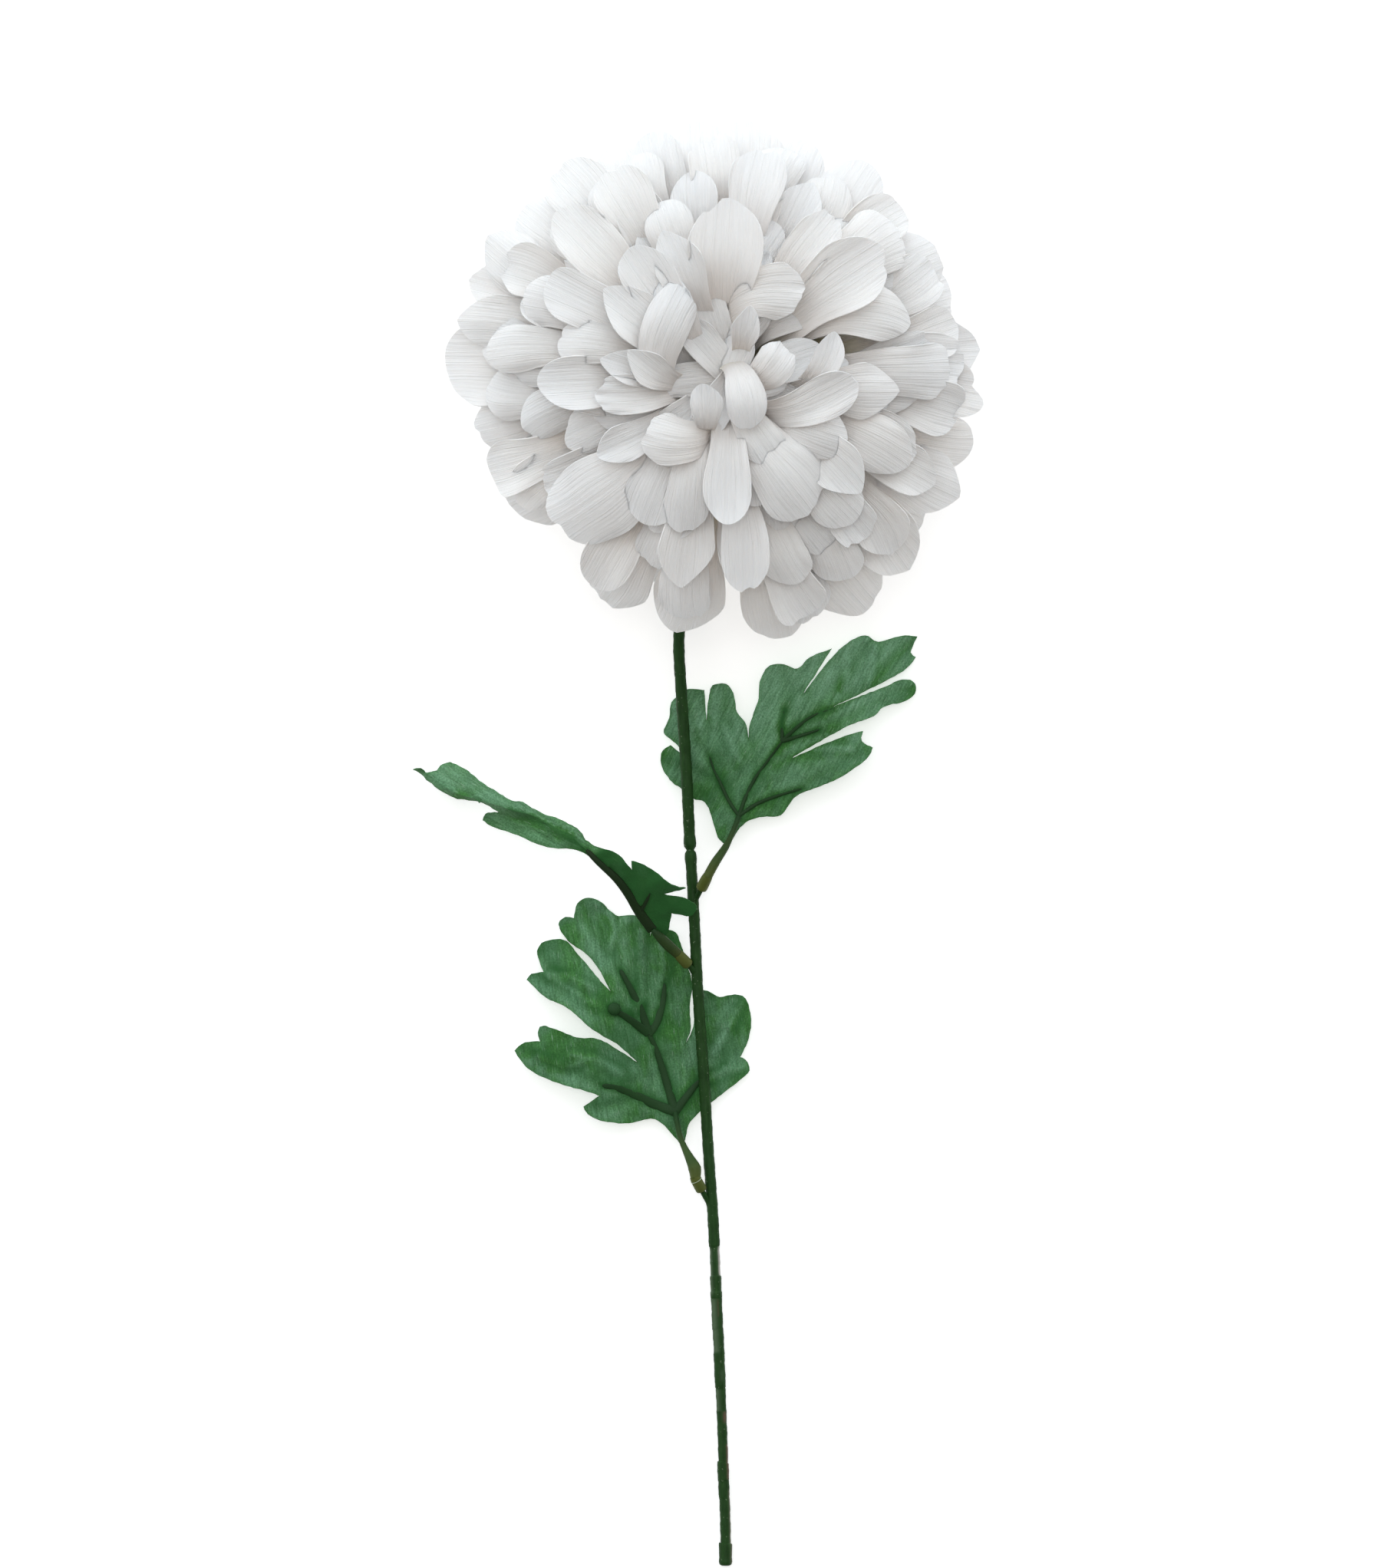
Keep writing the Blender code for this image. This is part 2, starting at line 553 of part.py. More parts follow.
def make_core(material):
    """The small core that the petals stand out of, flat where the calyx holds it."""
    shape = bmesh.new()
    bmesh.ops.create_icosphere(shape, subdivisions=2, radius=CORE_RADIUS)
    for vertex in shape.verts:
        vertex.co += BLOOM_CENTRE + Vector((0, 0, CORE_Z))
        vertex.co.z = max(vertex.co.z, CORE_FLAT_Z)
    mesh = bpy.data.meshes.new("bloom")
    shape.to_mesh(mesh)
    shape.free()
    item = bpy.data.objects.new("bloom", mesh)
    bpy.context.scene.collection.objects.link(item)
    mesh.materials.append(material)
    return item


def make_bloom():
    material = make_material("petal")
    draw = random.Random(11)
    core = make_core(material)
    petals = [*seen_petals(), *edge_petals(draw), *back_petals(draw), *foot_petals()]
    solids = [petal.solid(f"petal_{index}", material) for index, petal in enumerate(petals)]
    return unite(core, solids, solver="MANIFOLD")


def make_calyx():
    """Green cup between the stem and the core, turned about the bloom's axis."""
    material = make_material("calyx")
    bore = STEM_RADIUS + 1.2 * GAP
    top, bottom = CALYX_TOP_Z, CALYX_BOTTOM_Z
    wide = CALYX_TOP_RADIUS
    profile = ((bore, bottom + CALYX_BORE_DEPTH), (bore, bottom), (0.0034, bottom),
               (0.0040, bottom + 0.001), (0.0043, bottom + 0.005), (wide * 0.8, bottom + 0.009),
               (wide, top - 0.002), (wide, top))
    sides = 12
    vertices, faces = [], []
    for radius, height in profile:
        for step in range(sides):
            vertices.append(polar(360 * step / sides, radius, height))
    for ring in range(len(profile) - 1):
        for step in range(sides):
            after = (step + 1) % sides
            low, high = ring * sides, (ring + 1) * sides
            faces.append((low + step, low + after, high + after, high + step))
    faces.append(tuple(reversed(range(sides))))
    last = (len(profile) - 1) * sides
    faces.append(tuple(range(last, last + sides)))
    return make_object("calyx", vertices, faces, material, smooth=True)


def stem_stations():
    """Axis points and radii of the stem, with a pair of stations at each step of its radius."""
    route = [Vector(point) * MM for point in STEM_ROUTE]
    fine = 40
    curve = [route_point(route, index / fine) for index in range(fine * (len(route) - 1) + 1)]
    stations = [(curve[0], STEM_RADIUS)]
    step_places = [STEM_JOINT_Y, *STEM_SLEEVE_Y, *STEM_WRAP_Y, STEM_CAP_Y]
    walked = 0.0
    radius = STEM_RADIUS
    for before, point in zip(curve, curve[1:]):
        walked += (point - before).length
        in_bend = point.z > 0.0125
        for place in step_places:
            if before.y > place >= point.y:
                stations.append((before, radius))
                radius = stem_radius(point.y)
                stations.append((point, radius))
                walked = 0.0
        if walked > (0.003 if in_bend else STEM_STEP):
            stations.append((point, radius))
            walked = 0.0
    end = curve[-1]
    ahead = (curve[-1] - curve[-6]).normalized()
    if (stations[-1][0] - end).length < 0.002:
        stations.pop()
    stations.append((end - ahead * 0.0012, radius))
    stations.append((end, radius * 0.75))
    return [place for place, _ in stations], [size for _, size in stations]


def stem_radius(place):
    """Radius of the stem just below a place along Y."""
    if place < STEM_CAP_Y:
        return STEM_CAP_RADIUS
    if place < STEM_WRAP_Y[2]:
        return STEM_LOWER_RADIUS * 1.04
    if place < STEM_WRAP_Y[1]:
        return STEM_LOWER_RADIUS * 0.95
    if place < STEM_WRAP_Y[0]:
        return STEM_LOWER_RADIUS * 1.05
    if place < STEM_SLEEVE_Y[1]:
        return STEM_LOWER_RADIUS
    if place < STEM_SLEEVE_Y[0]:
        return STEM_SLEEVE_RADIUS
    return STEM_RADIUS * 0.95


def make_stem():
    material = make_material("stem")
    points, radii = stem_stations()
    stem = tube("stem", points, radii, STEM_SIDES, material)
    pegs = []
    for name, (start, direction, out) in PEGS.items():
        ahead = Vector(direction).normalized()
        start = Vector(start) * MM
        length = out * MM + PEG_IN_SOCKET
        places = [start, start + ahead * (length - 0.0005), start + ahead * length]
        sizes = [PEG_RADIUS, PEG_RADIUS, PEG_RADIUS * 0.7]
        pegs.append(tube("peg_" + name, places, sizes, RIB_SIDES + 2, material))
    return unite(stem, pegs)


def stretch_distance(point, routes):
    """Shortest distance from a point of the plan to a set of routes."""
    best = 1e9
    for route in routes:
        for start, end in zip(route, route[1:]):
            near, share = geometry.intersect_point_line(point, start, end)
            share = min(max(share, 0.0), 1.0)
            best = min(best, (point - (start + (end - start) * share)).length)
    return best


def is_inside(point, corners):
    """Whether a point of the plan is inside an outline."""
    inside = False
    for start, end in zip(corners, corners[1:] + corners[:1]):
        if (start.y > point.y) != (end.y > point.y):
            crossing = start.x + (end.x - start.x) * (point.y - start.y) / (end.y - start.y)
            inside ^= point.x < crossing
    return inside


def blade_solid(name, outline, creases, lift, material):
    """A leaf blade: its outline cut into triangles with its ribs as folds, lifted and thickened."""
    corners = [Vector(point) for point in outline]
    count = len(corners)
    points = list(corners)
    edges = []
    for crease in creases:
        first = len(points)
        points += [Vector(point) for point in crease]
        edges += [(index, index + 1) for index in range(first, len(points) - 1)]
    closed = corners + corners[:1]
    low = Vector((min(p.x for p in corners), min(p.y for p in corners)))
    high = Vector((max(p.x for p in corners), max(p.y for p in corners)))
    rows = int((high.y - low.y) / BLADE_GRID) + 1
    columns = int((high.x - low.x) / BLADE_GRID) + 1
    routes = [[Vector(point) for point in crease] for crease in creases]
    for row in range(rows):
        for column in range(columns):
            shift = 0.5 if row % 2 else 0.0
            spot = low + Vector((column + shift, row)) * BLADE_GRID
            if not is_inside(spot, corners) or stretch_distance(spot, [closed]) < BLADE_GRID * 0.4:
                continue
            if stretch_distance(spot, routes) < BLADE_GRID * 0.45:
                continue
            points.append(spot)
    result = geometry.delaunay_2d_cdt(points, edges, [list(range(count))], 1, 1e-6, False)
    flat = result[0]
    triangles = [face for face in result[2]
                 if is_inside((flat[face[0]] + flat[face[1]] + flat[face[2]]) / 3, corners)]
    used = sorted({index for triangle in triangles for index in triangle})
    order = {index: place for place, index in enumerate(used)}
    middle = [lift(flat[index]) for index in used]
    triangles = [tuple(order[index] for index in triangle) for triangle in triangles]
    normals = [Vector() for _ in middle]
    for a, b, c in triangles:
        normal = (middle[b] - middle[a]).cross(middle[c] - middle[a])
        for index in (a, b, c):
            normals[index] += normal
    total = len(middle)
    half = BLADE_THICKNESS / 2
    vertices = [place + normal.normalized() * half for place, normal in zip(middle, normals)]
    vertices += [place - normal.normalized() * half for place, normal in zip(middle, normals)]
    faces = []
    open_edges = {}
    for a, b, c in triangles:
        faces.append((a, b, c))
        faces.append((c + total, b + total, a + total))
        for edge in ((a, b), (b, c), (c, a)):
            if (edge[1], edge[0]) in open_edges:
                del open_edges[(edge[1], edge[0])]
            else:
                open_edges[edge] = True
    for a, b in open_edges:
        faces.append((b, a, a + total))
        faces.append((b, a + total, b + total))
    return make_object(name, vertices, faces, material)


def rib_tubes(name, ribs, surface, material):
    """Raised ribs that run over the blade, a gap above it."""
    tubes = []
    for number, rib in enumerate(ribs):
        count = len(rib)
        points, radii = [], []
        for index, place in enumerate(rib):
            radius = RIB_RADIUS + (RIB_TIP_RADIUS - RIB_RADIUS) * index / (count - 1)
            where, normal = surface(Vector(place))
            points.append(where + normal * (BLADE_THICKNESS / 2 + GAP + radius))
            radii.append(radius)
        tubes.append(tube(f"{name}_rib_{number}", points, radii, RIB_SIDES, material))
    return tubes


def scaled(points):
    return [tuple(value * MM for value in point) for point in points]


def smooth_step(value, low, high):
    share = min(max((value - low) / (high - low), 0.0), 1.0)
    return share * share * (3 - 2 * share)


def right_height(place):
    """Height of the right leaf over the surface: low under the stem, arched to its right."""
    reach = place.length
    free = smooth_step(place.x, -0.004, 0.034)
    arch = 0.0085 * free * math.sin(math.pi * min(reach / 0.086, 1.08))
    turn = math.atan2(place.y, place.x)
    wave = 0.0016 * math.sin(5 * turn + 0.6) * smooth_step(reach, 0.02, 0.06)
    sag = 0.030 * reach + 0.0016 * (1 - free) * smooth_step(reach, 0.02, 0.05)
    return RIGHT_BASE_Z - sag + arch + wave * (0.35 + 0.65 * free)


def lower_height(place):
    """Height of the lower leaf: under the stem on its right, arched to its left."""
    reach = place.length
    free = smooth_step(-place.x, -0.002, 0.030)
    arch = 0.0095 * free * math.sin(math.pi * min(reach / 0.078, 1.05))
    turn = math.atan2(place.y, place.x)
    wave = 0.0014 * math.sin(5 * turn + 2.2) * smooth_step(reach, 0.02, 0.06)
    sag = 0.022 * reach
    return LOWER_BASE_Z - sag + arch + wave * (0.3 + 0.7 * free)


def plan_leaf(side, base, height, outline, ribs, stalk, stalk_radii, knob=None, folds=()):
    """A leaf that lies in plan view as its outline: a fabric blade and a ribbed stalk."""
    outline, ribs = scaled(outline), [scaled(rib) for rib in ribs]
    creases = ribs + [scaled(fold) for fold in folds]
    routes = [[Vector(point) for point in rib] for rib in ribs]
    origin = Vector((base[0] * MM, base[1] * MM, 0))

    def lift(place):
        ridge = math.exp(-(stretch_distance(place, routes) / RIB_RELIEF_WIDTH) ** 2)
        lowest = BLADE_THICKNESS
        raised = max(height(place) + RIB_RELIEF * (ridge - 1), lowest)
        return origin + Vector((place.x, place.y, raised))

    def surface(place):
        return lift(place), Vector((0, 0, 1))

    blade = blade_solid(f"leaf_{side}_blade", outline, creases, lift, make_material("leaf"))
    material = make_material("stalk")
    tubes = rib_tubes(side, ribs, surface, material)
    if knob:
        place = Vector((knob[0] * MM, knob[1] * MM, 0)) - origin
        where, _ = surface(place.xy)
        foot = where + Vector((0, 0, BLADE_THICKNESS / 2 + KNOB_LIFT))
        places = [foot, foot + Vector((0, 0, 0.0012)), foot + Vector((0, 0, 0.0020))]
        sizes = [KNOB_RADIUS, KNOB_RADIUS, KNOB_RADIUS * 0.7]
        tubes.append(tube(side + "_knob", places, sizes, 8, material))
    start = surface(Vector((0.0, 0.0)))[0]
    start.z += BLADE_THICKNESS / 2 + GAP + RIB_RADIUS
    return blade, make_stalk(side, stalk, stalk_radii, start, tubes, material)


def make_stalk(side, stalk, stalk_radii, rib_start, tubes, material):
    """The moulded stalk: a socket over the stem's peg, a tapered stalk and the ribs."""
    start, direction, out = PEGS[side]
    ahead = Vector(direction).normalized()
    mouth = Vector(start) * MM + ahead * out * MM
    depth = PEG_IN_SOCKET + GAP
    item = socket(f"leaf_{side}_stalk", mouth, ahead, SOCKET_RADIUS, BORE_RADIUS, depth,
                  depth + 0.0015, material)
    points = [Vector(point) * MM for point in stalk]
    points.insert(0, mouth + ahead * (depth + 0.0006))
    points.append(rib_start)
    radii = [SOCKET_RADIUS * 0.8, *[size * MM for size in stalk_radii], RIB_RADIUS * 1.05]
    fine = 2
    curve = [route_point(points, index / fine) for index in range(fine * (len(points) - 1) + 1)]
    sizes = [radii[index // fine] if index % fine == 0
             else (radii[index // fine] + radii[index // fine + 1]) / 2
             for index in range(len(curve))]
    tubes.append(tube(side + "_neck", curve, sizes, SOCKET_SIDES, material))
    return unite(item, tubes)


def left_height(place):
    """Height of the left leaf, from how far a point is along its midrib and to which side."""
    spot = place + Vector(LEFT_BASE) * MM
    best = 1e9
    walked = 0.0
    for start, end in zip(LEFT_MIDRIB, LEFT_MIDRIB[1:]):
        start, end = Vector(start) * MM, Vector(end) * MM
        way = (end - start).xy
        share = min(max((spot - start.xy).dot(way) / way.length_squared, 0.0), 1.0)
        offset = spot - start.xy - way * share
        if offset.length < best:
            best = offset.length
            ridge = start.z + (end.z - start.z) * share
            along = walked + share * way.length
            above = way.y * offset.x - way.x * offset.y > 0
        walked += way.length
    if above:
        near, far = LEFT_RISE_NEAR * best, -LEFT_DROP_FAR * best
    else:
        near = -LEFT_DROP_NEAR * best
        fold = LEFT_FOLD_WIDTH * smooth_step(along, *LEFT_FOLD_FROM)
        far = -LEFT_FOLD_DROP * min(best, fold) - LEFT_LOBE_DROP * max(best - fold, 0.0)
    return ridge + near + (far - near) * smooth_step(along, *LEFT_TURN)


def from_base(points):
    """Moves points of the left leaf's plan to its base."""
    return [(x - LEFT_BASE[0], y - LEFT_BASE[1]) for x, y in points]


def main():
    clear_scene()
    make_bloom()
    make_calyx()
    make_stem()
    plan_leaf("right", RIGHT_BASE, right_height, RIGHT_OUTLINE, RIGHT_RIBS, RIGHT_STALK,
              RIGHT_STALK_RADII)
    plan_leaf("lower", LOWER_BASE, lower_height, LOWER_OUTLINE, LOWER_RIBS, LOWER_STALK,
              LOWER_STALK_RADII, LOWER_KNOB)
    plan_leaf("left", LEFT_BASE, left_height, from_base(LEFT_OUTLINE),
              [from_base(rib) for rib in LEFT_RIBS], LEFT_STALK, LEFT_STALK_RADII,
              folds=[from_base(fold) for fold in LEFT_FOLDS])


main()
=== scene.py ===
"""Looks of the artificial pompon chrysanthemum: fine petals, fabric leaves, moulded stem.

Metres, +Z up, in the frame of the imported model: the stem lies along -Y and the bloom faces up.
Tables are in millimetres and degrees, and MM turns their lengths into metres.
"""

import math
import random
from functools import partial

import bpy
import numpy as np
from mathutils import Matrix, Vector, geometry, noise


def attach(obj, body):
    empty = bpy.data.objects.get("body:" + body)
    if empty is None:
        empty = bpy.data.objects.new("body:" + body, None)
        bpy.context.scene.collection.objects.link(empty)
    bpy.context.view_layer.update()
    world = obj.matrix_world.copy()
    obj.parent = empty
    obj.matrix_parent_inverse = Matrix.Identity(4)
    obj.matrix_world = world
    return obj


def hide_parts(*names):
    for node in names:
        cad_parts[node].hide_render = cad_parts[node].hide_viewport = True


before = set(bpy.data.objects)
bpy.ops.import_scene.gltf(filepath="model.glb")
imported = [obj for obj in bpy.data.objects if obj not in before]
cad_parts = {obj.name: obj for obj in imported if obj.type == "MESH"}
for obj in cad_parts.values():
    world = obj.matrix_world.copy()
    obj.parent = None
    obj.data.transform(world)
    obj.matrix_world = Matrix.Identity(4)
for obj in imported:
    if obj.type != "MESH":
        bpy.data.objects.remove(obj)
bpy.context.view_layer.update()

MM = 0.001
UPRIGHT = np.array((0, 0, 1.0))
# How far the pieces stay over the floor, and the gap around a peg or the stem in its bore.
FLOOR_CLEAR = 0.0001
BORE_GAP = 0.0003

# Edges turned by more than this many degrees stay sharp.
SMOOTH_ANGLE = 42
BLADE_SMOOTH_ANGLE = 60

# Camera: straight down, at the scale of 0.28 mm for each pixel of a picture 2044 pixels high.
PICTURE_HEIGHT = 0.5723
VIEW_CENTRE = (0.00196, 0.02282)
VIEW_PLANE_Z = 0.030
VIEW_DISTANCE = 6.0
SENSOR = 36.0

# Soft light from all around, stronger from the top of the picture: how far a direction leans
# to the top, and the light's colour there.
SOFT_LIGHT = 1.84
SOFT_LIGHT_COLOURS = (
    (0.0, (0.03, 0.03, 0.03)),
    (0.5, (0.266, 0.254, 0.241)),
    (0.75, (0.690, 0.722, 0.745)),
    (1.0, (0.672, 0.729, 0.772)),
)
SOFT_LIGHT_FROM = (-0.16, 0.98, 0.12)
LAMP_PLACE = (-0.1, 0.4, 7.2)
LAMP_TARGET = (0.01, 0.12, 0.05)
LAMP_SIZE = 1.8
LAMP_POWER = 64
LAMP_COLOUR = (1.0, 0.972, 0.94)
FLOOR_HALF_WIDTH = 8.0
FLOOR_GLOW = 0.49

# Bloom: its axis, the dome that its petals' tips lie on, and the padded core.
BLOOM_CENTRE = np.array((0.0105, 0.169, 0.0))
DOME_RADIUS = 0.097
DOME_BASE_Z = 0.056
DOME_RISE = 0.060
CORE_Z = 0.057
CORE_RADIUS = 0.0235
CORE_FLAT_Z = 0.042
CORE_RINGS = 18
CORE_SIDES = 32
CORE_RIPPLE = 0.015
ROOT_DEPTH = 0.008
PETAL_THICKNESS = 0.00035
PETAL_ROWS = 22
PETAL_COLUMNS = 19
PETAL_WAY_STEPS = 90
# How far under the dome a petal is where its shown part ends, and how long that part is.
SEEN_TUCK = 0.010
FILL_TUCK = 0.009
EDGE_TUCK = 0.020
EDGE_MIDDLE_RADIUS = 0.062
FILL_SHOWN = 0.028
EDGE_SHOWN = 0.036
BACK_SHOWN = 0.040
FOOT_SHOWN = 0.030
# How many degrees the petals of a ring stray from their places.
FILL_STRAY = 5
BACK_STRAY = 3
# How a petal narrows to its root: by what share, from and to how many shown lengths back.
NARROWING = ((0.40, 0.35, 1.35), (0.34, 1.2, 2.5))
# How deep a petal's tip is cut at its sides, as a share of its width, and its finer notches.
ROUND_CUT = 0.62
POINTED_CUT = 0.40
CRIMPED_CUT = 0.52
FRAY = 0.0005
NICK_WIDTH = 0.16
# How far a petal's surface waves and folds.
LIP = 0.0006
SIDE_WAVE = 0.0006
EDGE_WAVE = 0.0012
CREASES = 3
CREASE_DEPTH = 0.0007
CRIMP = 0.0008
POINT_RIDGE = 0.0010
LIP_LENGTH = 0.004
CRIMP_LENGTH = 0.007
# How far petals differ at random: roll in degrees, sway as a share of the shown length, lean.
ROLL = 8
SWAY = 0.09
LEAN = 0.35
# The least hollow of a petal, how strongly its cup bends it, and the share of that at its root.
LEAST_CUP = 0.16
CUP_BEND = 0.62
ROOT_BEND = 0.62
# How much wider than stated a petal is at most, and the ripple of its outline: its share of
# the width, and radians for each metre.
FULL_WIDTH = 1.04
OUTLINE_RIPPLE = 0.05
OUTLINE_TURNS = 210
FRONT_SEED = 23
REAR_SEED = 11

# Petals seen from the front, from the middle outwards:
# azimuth, reach, heading, shown length, width, cup (above zero is hollow to the front), lift,
# tip (r round, p pointed, c crimped), how far the tip hooks forward.
SEEN_PETALS = (
    (-156, 6, 88, 16, 11, -0.3, 2, "r", 1),
    (-61, 22, -74, 24, 14, -0.6, 4, "r", -2),
    (68, 27, 81, 14, 11, 0.5, -2, "p", 1),
    (28, 27, 48, 18, 15, -0.3, 2, "c", -1),
    (45, 43, 5, 26, 20, -0.3, 1, "c", 1),
    (110, 35, 72, 32, 17, -0.6, 3, "r", -2),
    (22, 44, 62, 22, 11, 0.3, 1, "p", 0),
    (-1, 47, 22, 30, 15, 0.5, 1, "r", 2),
    (-57, 37, -62, 24, 15, -0.3, -2, "r", 0),
    (-25, 51, -13, 26, 20, -0.4, 1, "r", -1),
    (-146, 35, 178, 24, 18, -0.5, 2, "c", -1),
    (164, 34, 146, 18, 12, 0.4, 0, "p", 1),
    (171, 43, 167, 20, 13, 0.4, -1, "p", 1),
    (-172, 45, -176, 24, 14, 0.4, -1, "c", 1),
    (-148, 52, -150, 26, 13, 0.5, -1, "p", 1),
    (-87, 51, -92, 34, 16, 0.6, 0, "r", 2),
    (-103, 58, -95, 36, 15, -0.5, 1, "r", -1),
    (-55, 60, -46, 36, 25, -0.5, 2, "c", -2),
    (-118, 60, -114, 32, 20, -0.3, -1, "r", 0),
    (-39, 64, -41, 28, 18, 0.4, 0, "p", 1),
    (-47, 71, -50, 28, 18, -0.3, -2, "r", 0),
    (-83, 74, -84, 30, 17, 0.4, 0, "r", 2),
    (-101, 75, -95, 32, 20, 0.4, -2, "p", 1),
    (-69, 79, -67, 30, 18, -0.3, -3, "r", 0),
    (-25, 77, -28, 32, 21, -0.4, 1, "p", -1),
    (-4, 65, -3, 28, 20, -0.4, 1, "p", 0),
    (2, 84, -2, 34, 20, -0.4, 1, "c", 0),
    (16, 74, -1, 34, 20, -0.5, 2, "p", -2),
    (38, 71, 36, 34, 24, 0.6, 1, "r", 3),
    (40, 87, 39, 34, 25, -0.5, 2, "r", -2),
    (55, 70, 55, 30, 16, 0.4, 1, "c", 1),
    (87, 62, 88, 30, 27, 0.6, 2, "r", 2),
    (79, 82, 80, 30, 19, 0.4, 0, "r", 1),
    (111, 56, 113, 28, 17, 0.4, 1, "p", 1),
    (109, 69, 112, 26, 17, -0.5, 1, "r", -1),
    (118, 83, 116, 30, 20, 0.4, 0, "r", 1),
    (125, 55, 119, 28, 18, 0.5, 0, "r", 2),
    (121, 43, 115, 24, 14, -0.4, 0, "r", -1),
    (143, 52, 140, 28, 20, 0.4, 1, "p", 1),
    (134, 81, 135, 34, 20, 0.4, 0, "r", 2),
    (152, 70, 158, 32, 19, 0.4, 0, "r", 1),
    (157, 78, 160, 30, 18, -0.4, 0, "r", 0),
    (173, 86, 178, 36, 16, -0.4, 0, "r", 0),
    (167, 61, 171, 28, 16, -0.5, 1, "r", 0),
    (-178, 64, -174, 28, 19, 0.5, 0, "r", 1),
    (-138, 82, -141, 46, 30, -0.5, 2, "r", -1),
)

# Petals of the rim: azimuth, reach, width, tip height.
EDGE_PETALS = (
    (7, 93, 24, 62), (-3, 92, 22, 72), (-15, 94, 23, 60), (-26, 97, 26, 64),
    (-36, 89, 18, 56), (-45, 96, 26, 64), (-57, 97, 27, 58), (-70, 93, 20, 66),
    (-77, 95, 23, 58), (-100, 93, 27, 60), (-118, 91, 22, 58), (-152, 80, 16, 56),
    (-161, 88, 22, 58), (-168, 90, 20, 68), (176, 98, 30, 60), (167, 98, 20, 70),
    (158, 96, 20, 60), (149, 99, 20, 70), (139, 96, 22, 60), (127, 95, 22, 68),
    (116, 93, 19, 60), (106, 93, 20, 69), (95, 94, 20, 60), (84, 95, 27, 68),
    (71, 92, 23, 61), (56, 94, 25, 68), (47, 91, 20, 60), (31, 91, 24, 68),
    (22, 90, 22, 60),
)

# Petals between and under the seen ones: count, reach, depth below the dome, width, first azimuth.
FILL_RINGS = (
    (24, 87, 7, 19, 3),
    (20, 75, 7, 17, 11),
    (16, 62, 8, 16, 0),
    (12, 48, 9, 15, 9),
    (9, 35, 11, 14, 20),
    (6, 22, 12, 12, 5),
)

# Rings behind the rim: count, reach, tip height, middle radius and height, width, first azimuth.
BACK_RINGS = (
    (14, 90, 49, 57, 68, 28, 4),
    (11, 84, 31, 56, 53, 30, 12),
    (9, 70, 13, 49, 36, 28, 0),
)
# Petals that the bloom rests on.
FOOT_AZIMUTHS = (0, 42, 90, 138, 180, 222, 318)
FOOT_REACH = 0.056
FOOT_MIDDLE = (0.036, 0.008)
FOOT_WIDTH = 0.021
FOOT_DIP = 0.014
# Notches between the petals (azimuth, half angle), and where back petals stay above the stem.
OPEN_PLACES = ((-90, 8), (-132, 9))
OPEN_FROM = 60
NECK_AZIMUTH = -97
NECK_HALF_ANGLE = 17
NECK_CLEAR_Z = 0.022

# Calyx.
CALYX_TOP_Z = 0.0417
CALYX_BOTTOM_Z = 0.027
CALYX_TOP_RADIUS = 0.0072
CALYX_LIP = 0.0004
CALYX_BORE_DEPTH = 0.006
CALYX_SIDES = 40
# Rounded foot of the calyx: radius and height.
CALYX_FOOT = ((0.0032, 0.0), (0.0038, 0.0004), (0.0041, 0.0012))

# Stem axis from the calyx to the lower end: x, y, z.
STEM_ROUTE = (
    (10.5, 169, 32.4), (10.5, 169, 27), (10.2, 166, 19), (9.4, 160, 14.2), (8.0, 152, 12.6),
    (2.5, 125, 12.0), (-2.5, 100, 11.6), (-4.8, 77, 11.0), (-4.0, 57, 10.5), (-2.2, 29, 9.8),
    (-0.8, 1, 9.1), (0.8, -27, 8.4), (2.2, -55, 7.7), (4.2, -83, 7.0), (5.9, -111, 6.3),
    (7.8, -139, 5.6), (8.9, -167, 4.8), (10.1, -192, 4.1), (11.3, -223, 3.2), (12.1, -251, 2.6),
    (12.2, -263.8, 2.55),
)
STEM_RADIUS = 0.0021
STEM_CAP_RADIUS = 0.0024
STEM_CAP_ROUND = 0.0013
STEM_JOINT_Y = -0.0013
STEM_SIDES = 32
STEM_STEP = 0.0011
STEM_PAIR = 0.00012
STEM_PAIR_CLEAR = 0.0002
STEM_WEAR_AND_HIGHLIGHT_EDGE = 0.0006
# The stem's joint: a notch between two swellings.
STEM_NOTCH = 0.00058
STEM_NOTCH_WIDTH = 0.0007
STEM_SWELL = 0.00022
STEM_SWELL_PLACE = 0.0026
STEM_SWELL_WIDTH = 0.0014
# Unevenness along the stem: height, radians for each metre, and start.
STEM_UNEVEN = ((0.00006, 900, 0), (0.00005, 2300, 1))

# Sections of the stem's wrapping: where each starts along Y, its radius, its shift to the right.
STEM_PARTS = (
    (200, 2.10, 0), (-1.3, 2.03, 0), (-146.6, 1.82, 0.05), (-157.5, 2.05, 0.05),
    (-163.3, 2.15, 0.05), (-165.4, 2.02, 0.05), (-175.2, 2.10, -0.05), (-176.8, 1.98, 0.10),
    (-186, 2.02, 0), (-198.4, 1.80, 0.05), (-207, 1.80, 0.05), (-225.8, 2.10, -0.12),
    (-232.5, 2.02, -0.05), (-239, 1.93, 0.12), (-255.5, 2.42, 0.05),
)
# Pale and brown places of the stem: start and end along Y, angle and spread around it in degrees,
# how pale and how brown. Brown is wear; pale is partly wear and partly painted highlight.
STEM_WEAR_AND_HIGHLIGHTS = (
    (-146.8, -157.2, 28, 26, 3.2, 0.0), (-147.2, -164.0, 150, 26, 0.8, 0.0),
    (-157.6, -165.0, 12, 22, 0.7, 0.0), (-165.8, -185.6, 126, 34, 0.95, 0.0),
    (-166.0, -172.0, 78, 9, 0.0, 0.35), (-199.0, -207.0, 140, 34, 0.8, 0.0),
    (-207.2, -210.8, 52, 24, 0.5, 0.8), (-219.0, -232.2, 24, 24, 0.5, 0.85),
    (-236.0, -263.0, 12, 26, 1.5, 0.45), (-192.0, -196.0, 70, 20, 0.4, 0.0),
)

